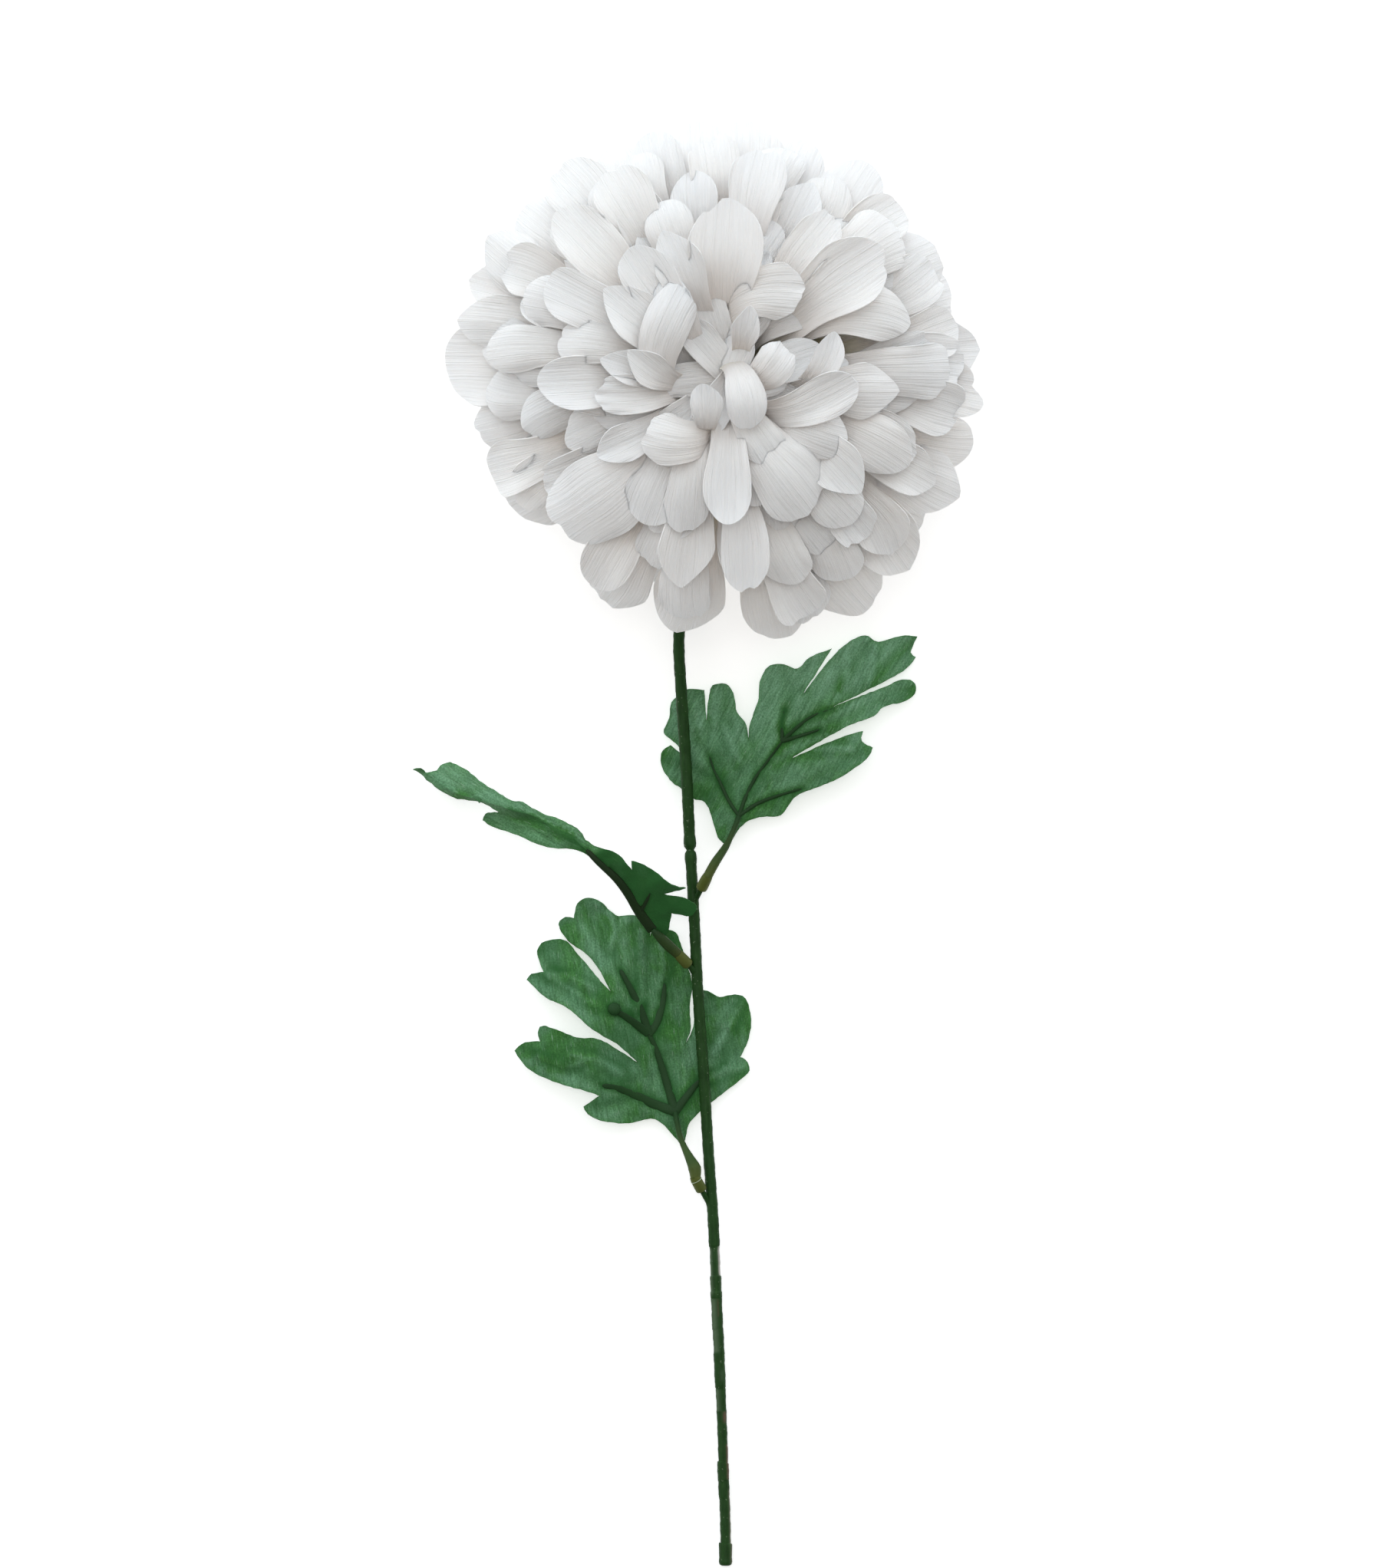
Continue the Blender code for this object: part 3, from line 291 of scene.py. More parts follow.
# Each peg: where it leaves the stem's axis, its direction, and how far out its socket starts.
PEGS = {
    "right": ((0.5, -21.0, 8.6), (0.40, 0.78, 0.48), 6.8),
    "left": ((1.8, -46.8, 7.9), (-0.62, 0.66, 0.42), 5.0),
    "lower": ((6.9, -132.2, 5.8), (-0.45, 0.83, 0.33), 7.3),
}
PEG_RADIUS = 0.0010
PEG_IN_SOCKET = 0.0045
PEG_SIDES = 14
SOCKET_RADIUS = 0.0021
SOCKET_SIDES = 24
# A socket's outside: shares of its radius at heights over its mouth, then at shares of its length.
SOCKET_MOUTH = ((0.80, 0.0), (0.94, 0.00025), (1.0, 0.0008))
SOCKET_BODY = ((1.0, 0.3), (0.98, 0.6), (0.94, 0.85), (0.85, 1.0))
SOCKET_ROOF = 0.0015
# The seam ring of the lower leaf's socket, and where it is along the socket.
SEAM_RING = ((0.90, 0.0), (1.03, 0.00006), (1.03, 0.00022), (0.90, 0.00028))
SEAM_PLACE = 0.72
STALK_SIDES = 18
STALK_STEPS = 10
RIB_SIDES = 14

# Leaves.
BLADE_THICKNESS = 0.0005
BLADE_GRID = 0.0014
EDGE_STEP = 0.0013
EDGE_TOOTH = 0.00012
SHARP_TURN = 75
ROW_SPACING = 0.87
# How far a blade's grooves, pleats, side veins, edge ruffle, waves and puckers stand up.
GROOVE = 0.00075
PLEAT = 0.00090
SIDE_VEIN = 0.00016
RUFFLE = 0.0005
SOFT_WAVE = 0.0008
FINE_WAVE = 0.00030
PUCKER = 0.0006
# How wide they are.
GROOVE_WIDTH = 0.0016
PLEAT_WIDTH = 0.0013
SIDE_VEIN_WIDTH = 0.004
RUFFLE_WIDTH = 0.0025
SOFT_WAVE_WIDTH = 0.011
FINE_WAVE_WIDTH = 0.004
PUCKER_WIDTH = 0.008
# How far apart the side veins are, how much they slant, and how long an edge's ruffles are.
SIDE_VEIN_STEP = 0.0058
SIDE_VEIN_SLANT = 0.75
RUFFLE_LENGTH = 0.0042
# How far from its base a blade becomes uneven, and the lowest that it comes.
EVEN_REACH = 0.008
LOWEST_BLADE_Z = 0.0008
# How far a blade is dark beside its ribs, partly their own colour and partly painted crease shade,
# and along its edge.
RIB_DARK_WIDTH = 0.0028
EDGE_DARK_WIDTH = 0.0006
# Moulded ribs, and how far and how widely the blade rises to them.
RIB_RADIUS = 0.0009
RIB_TIP_RADIUS = 0.0004
RIB_RELIEF = 0.0010
RIB_RELIEF_WIDTH = 0.006

RIGHT_BASE = (17.1, 11.1)
# How a leaf that lies flat rises over the surface: the side that arches, how far out the
# arch starts and is full, its height, span and end, the wave around the leaf, with its
# start and its least share, the sag along the leaf and the droop of the other side.
RIGHT_RISE = {
    "base_z": 0.0068, "side": 1, "start": -0.004, "full": 0.034, "arch": 0.0085,
    "span": 0.086, "end": 1.08, "wave": 0.0016, "first": 0.6, "least": 0.35,
    "sag": 0.030, "droop": 0.0016,
}
RIGHT_OUTLINE = (
    (-4.5, -10.4), (-7, -8.7), (-8.4, -5.6), (-10, 0), (-12.5, 5), (-17, 6.5), (-21, 10),
    (-24.5, 12.5), (-28, 17.5), (-28.5, 23), (-25, 26), (-20, 22), (-23, 26.5), (-27.5, 30.5),
    (-25.5, 36), (-25, 40.5), (-23, 43.5), (-18.5, 46.5), (-12.6, 46.2), (-12, 35), (-10.4, 46.5),
    (-7.6, 48.4), (-4.5, 48.4), (-2, 45), (-0.6, 38), (2.8, 33.6), (3.4, 28), (4.2, 34),
    (7, 41.7), (8, 50), (10.6, 54.5), (15.4, 55.7), (21.6, 54), (26, 58), (34, 61.3), (30, 55),
    (23.2, 44), (31, 54.5), (37.5, 61.6), (43.5, 65.5), (47.3, 65.8), (51, 63.8), (59.5, 66),
    (65.5, 65.8), (63, 60), (65, 58.3), (61.3, 54), (54, 49.5), (34.4, 40), (52.4, 47),
    (59.6, 49.8), (63.6, 49), (64.7, 45.6), (61.5, 42.3), (53, 40), (49.6, 36.7), (38, 32),
    (19, 21), (37, 28.6), (45.4, 31), (45, 27.4), (49, 25), (46.8, 21), (38, 14.6), (30, 11),
    (21, 7.3), (15.4, 0.3), (9, -0.3), (3.6, -1.7), (-0.3, -5.3), (-3.1, -10.1),
)
RIGHT_RIBS = (
    ((0, 0), (-3.7, 5.6), (-7, 12.6), (-9.3, 17.3), (-10.7, 21.8)),
    ((0, 0), (2.5, 7), (6.1, 14), (10.3, 19.8), (15.9, 27.4)),
    ((0, 0), (6.1, 4.2), (13.1, 7), (22.9, 10)),
    ((15.9, 27.4), (15.9, 32.7), (16.8, 39.2)),
    ((15.9, 27.4), (21, 32.2), (26.6, 36.4), (34, 39.3)),
    ((15.9, 27.4), (21.5, 29.1), (29.4, 31.6)),
)
# Creases of the fabric beyond the moulded ribs.
RIGHT_FOLDS = (
    ((-7, 12.6), (-13, 15), (-20, 17.5), (-25, 19)),
    ((-10.7, 21.8), (-12.5, 27), (-12, 34)),
    ((-10.7, 21.8), (-16, 28), (-20, 36), (-21, 42)),
    ((-10.7, 21.8), (-7.5, 30), (-6, 40), (-6, 46)),
    ((16.8, 39.2), (17, 46), (16, 53)),
    ((34, 39.3), (44, 47), (54, 56), (61, 63)),
    ((26.6, 36.4), (34, 46), (42, 57), (46, 63)),
    ((29.4, 31.6), (40, 37), (52, 43), (62, 47)),
    ((22.9, 10), (33, 17), (42, 23), (46, 27)),
    ((6.1, 14), (5, 22), (3.6, 28)),
    ((10.3, 19.8), (16, 20), (24, 24), (34, 28)),
)
# Raised pleats of the fabric.
RIGHT_PLEATS = (
    ((39.9, 56.2), (39.4, 51), (39.2, 46.8)),
    ((49.2, 62), (48.4, 56), (47.4, 49.2)),
    ((23, 44), (20, 38), (17.5, 34)),
    ((0.5, 20), (-2.5, 26), (-5.5, 33)),
    ((28, 24), (35, 25), (42, 24)),
)
# Soft patches: x, y, size, and how far they darken the leaf.
RIGHT_PATCHES = (
    (-31, 26, 9, 0.55), (-9, 53, 8, 0.55), (62, 49, 12, 0.50), (76, 52, 10, 0.45),
    (-8, 10, 9, 0.60), (68, 72, 9, 0.25), (6, 10, 6, 0.45), (30, 32, 9, 0.25),
    (18, 60, 12, -0.25), (46, 66, 12, -0.25), (8, 30, 9, -0.10),
)

LOWER_BASE = (-6.2, -97.3)
LOWER_RISE = {
    "base_z": 0.0042, "side": -1, "start": -0.002, "full": 0.030, "arch": 0.0095,
    "span": 0.078, "end": 1.05, "wave": 0.0014, "first": 2.2, "least": 0.3,
    "sag": 0.022, "droop": 0.0,
}
LOWER_OUTLINE = (
    (2, -11.8), (-2, -7.3), (-5, -4.2), (-9, -2.5), (-17, -4.2), (-26, -3.4), (-32, -0.8),
    (-33.6, 2), (-27.7, 6), (-33.6, 8), (-41, 10), (-49.6, 13.2), (-55, 17), (-58.5, 22.4),
    (-55, 25.5), (-49.6, 25.8), (-50.4, 29), (-48.2, 31.6), (-36, 27.4), (-27, 26.3), (-14, 18.2),
    (-20.7, 24.4), (-29.4, 29.7), (-40, 38.4), (-47, 41.7), (-54.3, 48.2), (-52.6, 50.4),
    (-48.2, 51.2), (-50.4, 56.6), (-50.4, 60), (-47.6, 62.4), (-40.6, 62.7), (-34.7, 56.6),
    (-23.5, 43.4), (-28, 52.4), (-33, 58.2), (-39.2, 62.4), (-42.8, 68.6), (-40.3, 71.4),
    (-37.2, 71), (-36, 76.2), (-32, 78.4), (-27, 76.7), (-22, 72), (-14, 71.7), (-9.5, 67.2),
    (-9.3, 64.4), (-8.7, 66.2), (-4, 66.8), (0, 65.8), (2, 61.6), (4.2, 54.3), (6.2, 46.8),
    (5.3, 38.4), (5.6, 30), (3.1, 23.8), (6.6, 31), (7, 39.8), (8.9, 44), (12, 44.2), (16.2, 42),
    (21.8, 43), (25.8, 41.4), (27.7, 34.7), (27, 27), (23.8, 20), (25.8, 19), (27.2, 15),
    (23, 11), (14, 4), (8.4, -0.6), (4.8, -5), (3.6, -10.4),
)
LOWER_RIBS = (
    ((0, 0), (-8.4, 3.1), (-14, 5.9), (-20.1, 8.4), (-26.6, 9.8)),
    ((0, 0), (-2.5, 8.4), (-5, 16.8), (-7.5, 24.1), (-9.8, 28.6)),
    ((0, 0), (3.1, 4.2), (5.9, 7.8), (9.3, 11.8)),
    ((-9.8, 28.6), (-14, 31.9), (-19.3, 35.6), (-24, 38.3)),
    ((-9.8, 28.6), (-12.3, 36.4), (-16.2, 44.8), (-20.1, 52.1)),
    ((-9.8, 28.6), (-6.7, 33), (-4.4, 40.9), (-4, 47)),
)
LOWER_FOLDS = (
    ((-9.3, 64.4), (-10.2, 56), (-10.4, 46.3)),
    ((-26.6, 9.8), (-37, 14), (-47, 18), (-55, 22)),
    ((-14, 5.9), (-21, 2.5), (-29, 1)),
    ((-24, 38.3), (-34, 44), (-44, 50), (-49, 57)),
    ((-19.3, 35.6), (-30, 36), (-42, 44), (-51, 49)),
    ((-20.1, 52.1), (-26, 60), (-32, 69), (-35, 75)),
    ((-16.2, 44.8), (-16, 56), (-17, 68)),
    ((-4, 47), (-3, 55), (-2.5, 63)),
    ((9.3, 11.8), (15, 17), (20, 25), (22, 38)),
    ((9.3, 11.8), (16, 13), (24, 16)),
    ((5.9, 7.8), (8, 20), (10, 32), (12, 42)),
)
LOWER_PLEATS = (
    ((-14, 38), (-12, 47), (-12, 58), (-13, 66)),
    ((-6, 45), (-4, 52), (-5.5, 62)),
    ((-24, 60), (-22, 66), (-24, 73)),
    ((-30, 45), (-38, 49), (-46, 50)),
    ((-20, 14), (-28, 19), (-38, 21)),
    ((14, 22), (19, 30), (24, 39)),
    ((12, 12), (19, 15), (25, 16)),
    ((-30, 20), (-40, 17), (-50, 20)),
)
LOWER_PATCHES = (
    (-46, 64, 10, 0.45), (-15, 30, 10, 0.35), (-34, 26, 10, 0.35), (1, 66, 8, 0.35),
    (19, 42, 8, 0.30), (-60, 30, 9, 0.20), (-15, 70, 13, -0.30), (-36, 76, 9, -0.20),
    (-20, 50, 8, -0.15), (26, 18, 8, -0.15),
)
LOWER_KNOB = (-28.5, -59.5)
KNOB_RADIUS = 0.0021
KNOB_LIFT = 0.0009
KNOB_DOME = 0.0012
KNOB_SIDES = 28

LEFT_BASE = (-14.5, -30.5)
LEFT_MIDRIB = (
    (-10.5, -36, 11.6), (-14.5, -30.5, 14.6), (-19.3, -24.0, 18.2), (-23.2, -17.5, 21.8),
    (-27.8, -11.6, 25.0), (-34.5, -5.5, 27.5), (-39, -0.5, 28.5), (-45.5, 4.5, 29.0),
    (-52.5, 8.1, 28.5), (-58, 11.1, 27.5), (-67.1, 13.6, 25.5), (-76.9, 16.3, 23.0),
    (-90.3, 21.5, 18.0), (-98.8, 27.3, 13.0), (-106, 32, 9.0),
)
LEFT_OUTLINE = (
    (-12.4, -33.6), (-15.4, -30.9), (-20, -25.6), (-22.1, -22), (-24.5, -17.4), (-28.5, -12.2),
    (-30.6, -9.9), (-37.3, -3.8), (-42.2, -1.3), (-51.3, -0.4), (-57.4, 1.4), (-64.7, 4.5),
    (-73.2, 7.2), (-76.6, 9.6), (-75.7, 11.8), (-72.3, 12.5), (-69.6, 12.2), (-76.9, 15.1),
    (-83, 17.2), (-90.3, 20), (-96.4, 23.6), (-102.1, 28.2), (-98.8, 28.2), (-97, 27),
    (-93.6, 27.3), (-92.4, 29.1), (-88.8, 30.3), (-83.6, 28.5), (-75.7, 22.4), (-67.1, 16.9),
    (-60.5, 15.4), (-50.1, 10.2), (-41.6, 5.4), (-37.9, 1.7), (-34.3, -0.1), (-28.2, -2.2),
    (-25.5, -3.9), (-21.8, -8.6), (-22.1, -5.1), (-18.5, -6.2), (-12.4, -9.9), (-7.5, -13.5),
    (-2.3, -15), (-8.7, -17.2), (-11.1, -17.9), (-5.1, -18.5), (-2.5, -18.9), (1, -20.5),
    (1.7, -22.5), (-0.6, -24.8), (-5.1, -24.8), (-7.5, -24.6), (-8.4, -29.9), (-9.3, -32.4),
    (-11, -33),
)
LEFT_RIBS = (
    ((-14.5, -30.5), (-19.3, -24.0), (-23.2, -17.5), (-27.8, -11.6), (-34.5, -5.5), (-38.6, -1.2)),
    ((-19.3, -24.0), (-17.5, -21.5), (-15.4, -17.2)),
)
LEFT_FOLDS = (
    ((-38.6, -1.2), (-45.5, 4.5), (-52.5, 8.1), (-58, 11.1), (-67.1, 13.6), (-76.9, 16.3),
     (-90.3, 21.5), (-98.8, 27.3)),
)
# Where the turned part ends along the midrib, and how steeply each side slopes across it.
LEFT_TURN = (0.040, 0.047)
LEFT_RISE_NEAR = 0.45
LEFT_DROP_NEAR = 0.80
LEFT_DROP_FAR = 1.10
LEFT_FOLD_DROP = 2.2
LEFT_FOLD_WIDTH = 0.0035
LEFT_FOLD_FROM = (0.060, 0.083)
LEFT_LOBE_DROP = 0.35
# Where the pale part of the left leaf starts along the midrib, and the strip of painted shade under
# its
# ridge fold: its half width, where it fades, and where it goes on further from the ridge.
LEFT_PALE_FROM = (0.0405, 0.0425)
LEFT_STRIP = 0.0030
LEFT_STRIP_FADE = (0.072, 0.080)
LEFT_STRIP_BEYOND = (0.078, 0.086)
# Creases of the fabric on the left leaf beyond its midrib.
LEFT_CREASES = (
    ((-42, 0.3), (-48, 2.0), (-56, 4.5), (-66, 7.4), (-73, 9.2)),
    ((-52.5, 8.1), (-60, 9.2), (-68, 11.3)),
    ((-76.9, 16.3), (-84, 21), (-88.5, 26)),
    ((-38.6, -1.2), (-43, 1.4), (-47, 2.9)),
)

# Stalks: points from the socket to the leaf, radii there, and how much darker they are.
STALKS = {
    "right": (((8.4, -6, 13.6), (12, -0.6, 11.2), (14, 3.2, 9.8), (16, 8, 8.8)),
              (1.7, 1.35, 1.0, 0.95), 0.12),
    "lower": (((0.9, -118, 9.3), (-0.9, -114.2, 8.3), (-2.7, -110.6, 7.3), (-4.3, -106.6, 6.6),
               (-5.6, -101, 6.0)), (2.4, 1.7, 1.2, 1.0, 0.95), 0.0),
    "left": (((-8.6, -36.4, 14.0), (-11.8, -33.2, 15.3)), (2.0, 1.75), 0.42),
}

# Looks of a leaf: seed, grain in degrees, and its ribs' width, flatness, depth in the blade,
# darkness, and the side ribs' share of the width.
LEAF_LOOKS = {
    "right": (31, 62, (0.8, 0.4, 0.0002, 0.3, 1.0)),
    "lower": (43, 98, (2.0, 0.24, -0.0001, 0.22, 0.86)),
    "left": (57, 150, (2.2, 0.55, -0.0002, 0.85, 0.42)),
}


class Shape:
    """Points and faces of one piece, with a place on the fabric and two marks for each point."""

    def __init__(self):
        self.points, self.faces, self.places = [], [], []
        self.tones, self.shades = [], []

    def add(self, points, faces, places, tone=0.0, shade=0.0):
        """Adds a form; places and marks given for fewer points are repeated."""
        first = len(self.points)
        count = len(points)
        self.points += [tuple(point) for point in points]
        self.faces += [tuple(index + first for index in face) for face in faces]
        self.places += np.resize(places, (count, 2)).tolist()
        self.tones += np.resize(tone, count).tolist()
        self.shades += np.resize(shade, count).tolist()

    def piece(self, name, material, slot, *nodes, angle=SMOOTH_ANGLE):
        """Makes the piece, which stands in for the nodes that are named."""
        mesh = bpy.data.meshes.new(name)
        mesh.from_pydata(self.points, [], self.faces)
        mesh.update()
        corners = np.zeros(len(mesh.loops), dtype=np.int32)
        mesh.loops.foreach_get("vertex_index", corners)
        layer = mesh.uv_layers.new(name="fabric")
        layer.data.foreach_set("uv", np.array(self.places, dtype=np.float32)[corners].ravel())
        for mark, values in (("tone", self.tones), ("shade", self.shades)):
            layer = mesh.attributes.new(mark, "FLOAT", "POINT")
            layer.data.foreach_set("value", np.array(values, dtype=np.float32))
        mesh.shade_smooth()
        mesh.set_sharp_from_angle(angle=math.radians(angle))
        mesh.materials.append(material)
        item = bpy.data.objects.new(name, mesh)
        bpy.context.scene.collection.objects.link(item)
        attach(item, "root")
        if nodes:
            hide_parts(*nodes)


def unit(vectors):
    lengths = np.linalg.norm(vectors, axis=-1, keepdims=True)
    return vectors / np.maximum(lengths, 1e-9)


def scaled(points):
    return np.array(points, dtype=float) * MM


def smooth_step(value, low, high):
    share = np.clip((value - low) / (high - low), 0.0, 1.0)
    return share * share * (3 - 2 * share)


def bell(value, width):
    """One at nothing, falling smoothly away on both sides."""
    return np.exp(-(value / width) ** 2)


def walked_lengths(points):
    """How far along a route each of its points is."""
    return np.concatenate(((0,), np.cumsum(np.linalg.norm(np.diff(points, axis=0), axis=1))))


def curve_point(before, start, end, after, part):
    """A point from start to end on the smooth curve through four points."""
    square, cube = part * part, part * part * part
    return 0.5 * (2 * start + (end - before) * part
                  + (2 * before - 5 * start + 4 * end - after) * square
                  + (3 * start - before - 3 * end + after) * cube)


def route_point(points, place):
    """A point on the smooth curve through points, with place counted in points."""
    index = min(int(place), len(points) - 2)
    before = points[max(index - 1, 0)]
    after = points[min(index + 2, len(points) - 1)]
    return curve_point(before, points[index], points[index + 1], after, place - index)


def fine_route(points, step):
    """Points about a step apart on the smooth curve through a route."""
    curve = [points[0]]
    for index in range(len(points) - 1):
        span = np.linalg.norm(points[index + 1] - points[index])
        parts = max(2, int(span / step))
        curve += [route_point(points, index + part / parts) for part in range(1, parts + 1)]
    return np.array(curve)


def polar(azimuth, radius, height):
    """A point of the bloom from degrees and metres."""
    turn = math.radians(azimuth)
    return BLOOM_CENTRE + np.array((radius * math.cos(turn), radius * math.sin(turn), height))


def angle_between(first, second):
    return abs((first - second + 180) % 360 - 180)


def add_blade(shape, upper, lower, faces, places, tone, shade=0.0):
    """Joins two skins to a closed blade, from the faces of its upper skin."""
    total = len(upper)
    under = [tuple(index + total for index in reversed(face)) for face in faces]
    edges = dict.fromkeys(edge for face in faces for edge in zip(face, (*face[1:], face[0])))
    walls = [(two, one, one + total, two + total) for one, two in edges
             if (two, one) not in edges]
    shape.add(np.concatenate((upper, lower)), [*faces, *under, *walls], places, tone, shade)


# Petals.

def dome_height(radius):
    share = min(radius / DOME_RADIUS, 1.0)
    return DOME_BASE_Z + DOME_RISE * math.sqrt(1 - share * share)


def behind(tip, heading, shown, rise):
    """Where a petal dips under its neighbours, behind the length that it shows."""
    turn = math.radians(heading)
    middle = tip - np.array((math.cos(turn), math.sin(turn), 0)) * shown
    middle[2] = dome_height(np.linalg.norm((middle - BLOOM_CENTRE)[:2])) + rise
    return middle


def tip_cut(x, width, kind, phase, draw):
    """How much shorter a petal is than its middle line, across its width."""
    size = np.abs(x)
    round_tip = 1 - np.sqrt(np.maximum(0.0, 1 - x * x))
    if kind == "p":
        cut = width * POINTED_CUT * (size ** 1.3 + round_tip)
    elif kind == "c":
        fray = np.sin(7 * x + phase[0]) + 0.6 * np.sin(15 * x + phase[1])
        cut = width * CRIMPED_CUT * round_tip + FRAY * (fray + 1.6)
    else:
        nick = bell(x - draw.uniform(-0.5, 0.5), NICK_WIDTH)
        cut = width * (ROUND_CUT * round_tip + draw.choice((0.0, 0.0, 0.05, 0.09)) * nick)
    lopsided = draw.uniform(-0.10, 0.10) * x * (1 - x * x)
    return cut + width * (lopsided + 0.018 * (1 + np.sin(4.2 * x + phase[5])))


def petal_relief(x, left, shown, cup, kind, hook, phase, draw):
    """How far a petal's surface stands forward: hooked tip, lip, waves, creases and crimps."""
    size = np.abs(x)
    ease = 1 - smooth_step(left, 0.2 * shown, 1.6 * shown)
    late = np.clip(1 - left / (0.55 * shown), 0, 1)
    relief = (hook + (1.2 if cup > 0 else -0.6)) * MM * 1.5 * late ** 2
    relief += LIP * np.clip(1 - left / LIP_LENGTH, 0, 1) ** 2
    relief += SIDE_WAVE * ease * np.sin(2.4 * x + phase[3]) * size
    relief += EDGE_WAVE * ease * size ** 3 * np.sin(left * 250 + phase[4] + 2 * x)
    for _ in range(CREASES):
        crease = np.abs(x - draw.uniform(-0.75, 0.75)) / draw.uniform(0.12, 0.30)
        relief += draw.uniform(-CREASE_DEPTH, CREASE_DEPTH) * ease * np.exp(-crease)
    if kind == "c":
        edge = np.clip(1 - left / CRIMP_LENGTH, 0, 1) ** 1.5
        relief += CRIMP * np.sin(11 * x + phase[0]) * edge
    if kind == "p":
        relief -= POINT_RIDGE * (1 - size) * np.clip(1 - left / (0.8 * shown), 0, 1)
    return relief


def petal_surface(tip, middle, heading, width, cup, kind, hook, shown, draw):
    """Grid of points of one petal, from its root in the core to its tip."""
    core = BLOOM_CENTRE + np.array((0, 0, CORE_Z))
    root = core + unit(middle - core) * ROOT_DEPTH
    bend = 2 * middle - (root + tip) / 2
    steps = np.linspace(0, 1, PETAL_WAY_STEPS)[:, None]
    way = root * (1 - steps) ** 2 + bend * 2 * steps * (1 - steps) + tip * steps ** 2
    lengths = walked_lengths(way)
    turn = math.radians(heading)
    roll = math.radians(draw.uniform(-ROLL, ROLL))
    side = np.array((-math.sin(turn) * math.cos(roll), math.cos(turn) * math.cos(roll),
                     math.sin(roll)))
    phase = [draw.uniform(0, 2 * math.pi) for _ in range(6)]

    rows = np.linspace(0, 1, PETAL_ROWS) ** 0.60
    across = np.sin(np.linspace(-math.pi / 2, math.pi / 2, PETAL_COLUMNS))
    share, x = np.meshgrid(rows, across, indexing="ij")
    walked = share * (lengths[-1] - tip_cut(x, width, kind, phase, draw))
    left = lengths[-1] - walked
    along = np.interp(walked, lengths, steps[:, 0])[..., None]
    rest = 1 - along
    spine = root * rest * rest + bend * 2 * along * rest + tip * along * along
    ahead = unit((bend - root) * rest + (tip - bend) * along)
    sideways = unit(side - ahead * (ahead @ side)[..., None])
    front = np.cross(ahead, sideways)

    narrower = sum(amount * smooth_step(left, low * shown, high * shown)
                   for amount, low, high in NARROWING)
    ripple = 1 + OUTLINE_RIPPLE * np.sin(left * OUTLINE_TURNS + phase[2])
    half = width / 2 * (FULL_WIDTH - narrower) * ripple
    swing = np.sin(math.pi * np.clip(left / (1.7 * shown), 0, 1))
    sway = draw.uniform(-SWAY, SWAY) * shown * swing
    lean = draw.uniform(-LEAN, LEAN)
    near_tip = 1 - smooth_step(left, 0.1 * shown, 1.1 * shown)
    bow = 2 * math.atan(max(abs(cup), LEAST_CUP) * CUP_BEND)
    bow = bow * (ROOT_BEND + (1 - ROOT_BEND) * near_tip)
    wide = half * np.sin(bow * x) / np.sin(bow) + sway
    hollow = (1 if cup > 0 else -1) * (1 + lean * x)
    rise = half * (1 - np.cos(bow * x)) / np.sin(bow) * hollow
    rise = rise + petal_relief(x, left, shown, cup, kind, hook, phase, draw)
    points = spine + sideways * wide[..., None] + front * rise[..., None]
    return points, np.clip(1 - left / (2.4 * shown), 0, 1), x


def add_petal(shape, surface, draw):
    """Thickens a petal's surface to a closed blade that stays off the floor."""
    points, along, x = surface
    facing = np.cross(np.gradient(points, axis=0), np.gradient(points, axis=1))
    normal = unit(facing) * PETAL_THICKNESS / 2
    skins = []
    for way in (1, -1):
        skin = points + way * normal
        skin[..., 2] = np.maximum(skin[..., 2], FLOOR_CLEAR)
        resting = (skin[..., 2] < FLOOR_CLEAR * 1.5) & (way * normal[..., 2] > 0)
        skin[resting, 2] = FLOOR_CLEAR + PETAL_THICKNESS
        skins.append(skin.reshape(-1, 3))
    grid = np.arange(x.size).reshape(x.shape)
    faces = np.stack((grid[:-1, :-1], grid[1:, :-1], grid[1:, 1:], grid[:-1, 1:]), axis=-1)
    places = np.stack((x * 0.5 + 0.5, along), axis=-1).reshape(-1, 2)
    add_blade(shape, *skins, faces.reshape(-1, 4).tolist(), places, draw.uniform(-1, 1))


def seen_petals(draw):
    for azimuth, reach, heading, shown, width, cup, lift, kind, hook in SEEN_PETALS:
        tip = polar(azimuth, reach * MM, dome_height(reach * MM) + lift * MM)
        middle = behind(tip, heading, shown * MM, lift * MM - SEEN_TUCK)
        yield petal_surface(tip, middle, heading, width * MM, cup, kind, hook, shown * MM, draw)


def ring_places(rings, stray, draw):
    """Azimuth and sizes of each petal of some rings, but for those in the open places."""
    for count, reach, *sizes, first in rings:
        for index in range(count):
            azimuth = first + 360 * index / count + draw.uniform(-stray, stray)
            notched = any(angle_between(azimuth, place) < half for place, half in OPEN_PLACES)
            if not (notched and reach > OPEN_FROM):
                yield azimuth, reach, *sizes


def fill_petals(draw):
    for azimuth, reach, depth, width in ring_places(FILL_RINGS, FILL_STRAY, draw):
        length = (reach + draw.uniform(-3, 3)) * MM
        tip = polar(azimuth, length, dome_height(length) - (depth + draw.uniform(-2, 1)) * MM)
        heading = azimuth + draw.uniform(-10, 10)
        middle = behind(tip, heading, FILL_SHOWN, -depth * MM - FILL_TUCK)
        cup = draw.choice((-0.45, -0.3, 0.4, 0.5))
        yield petal_surface(tip, middle, heading, width * MM, cup, draw.choice("rrpc"),
                            draw.uniform(-1, 1), FILL_SHOWN, draw)


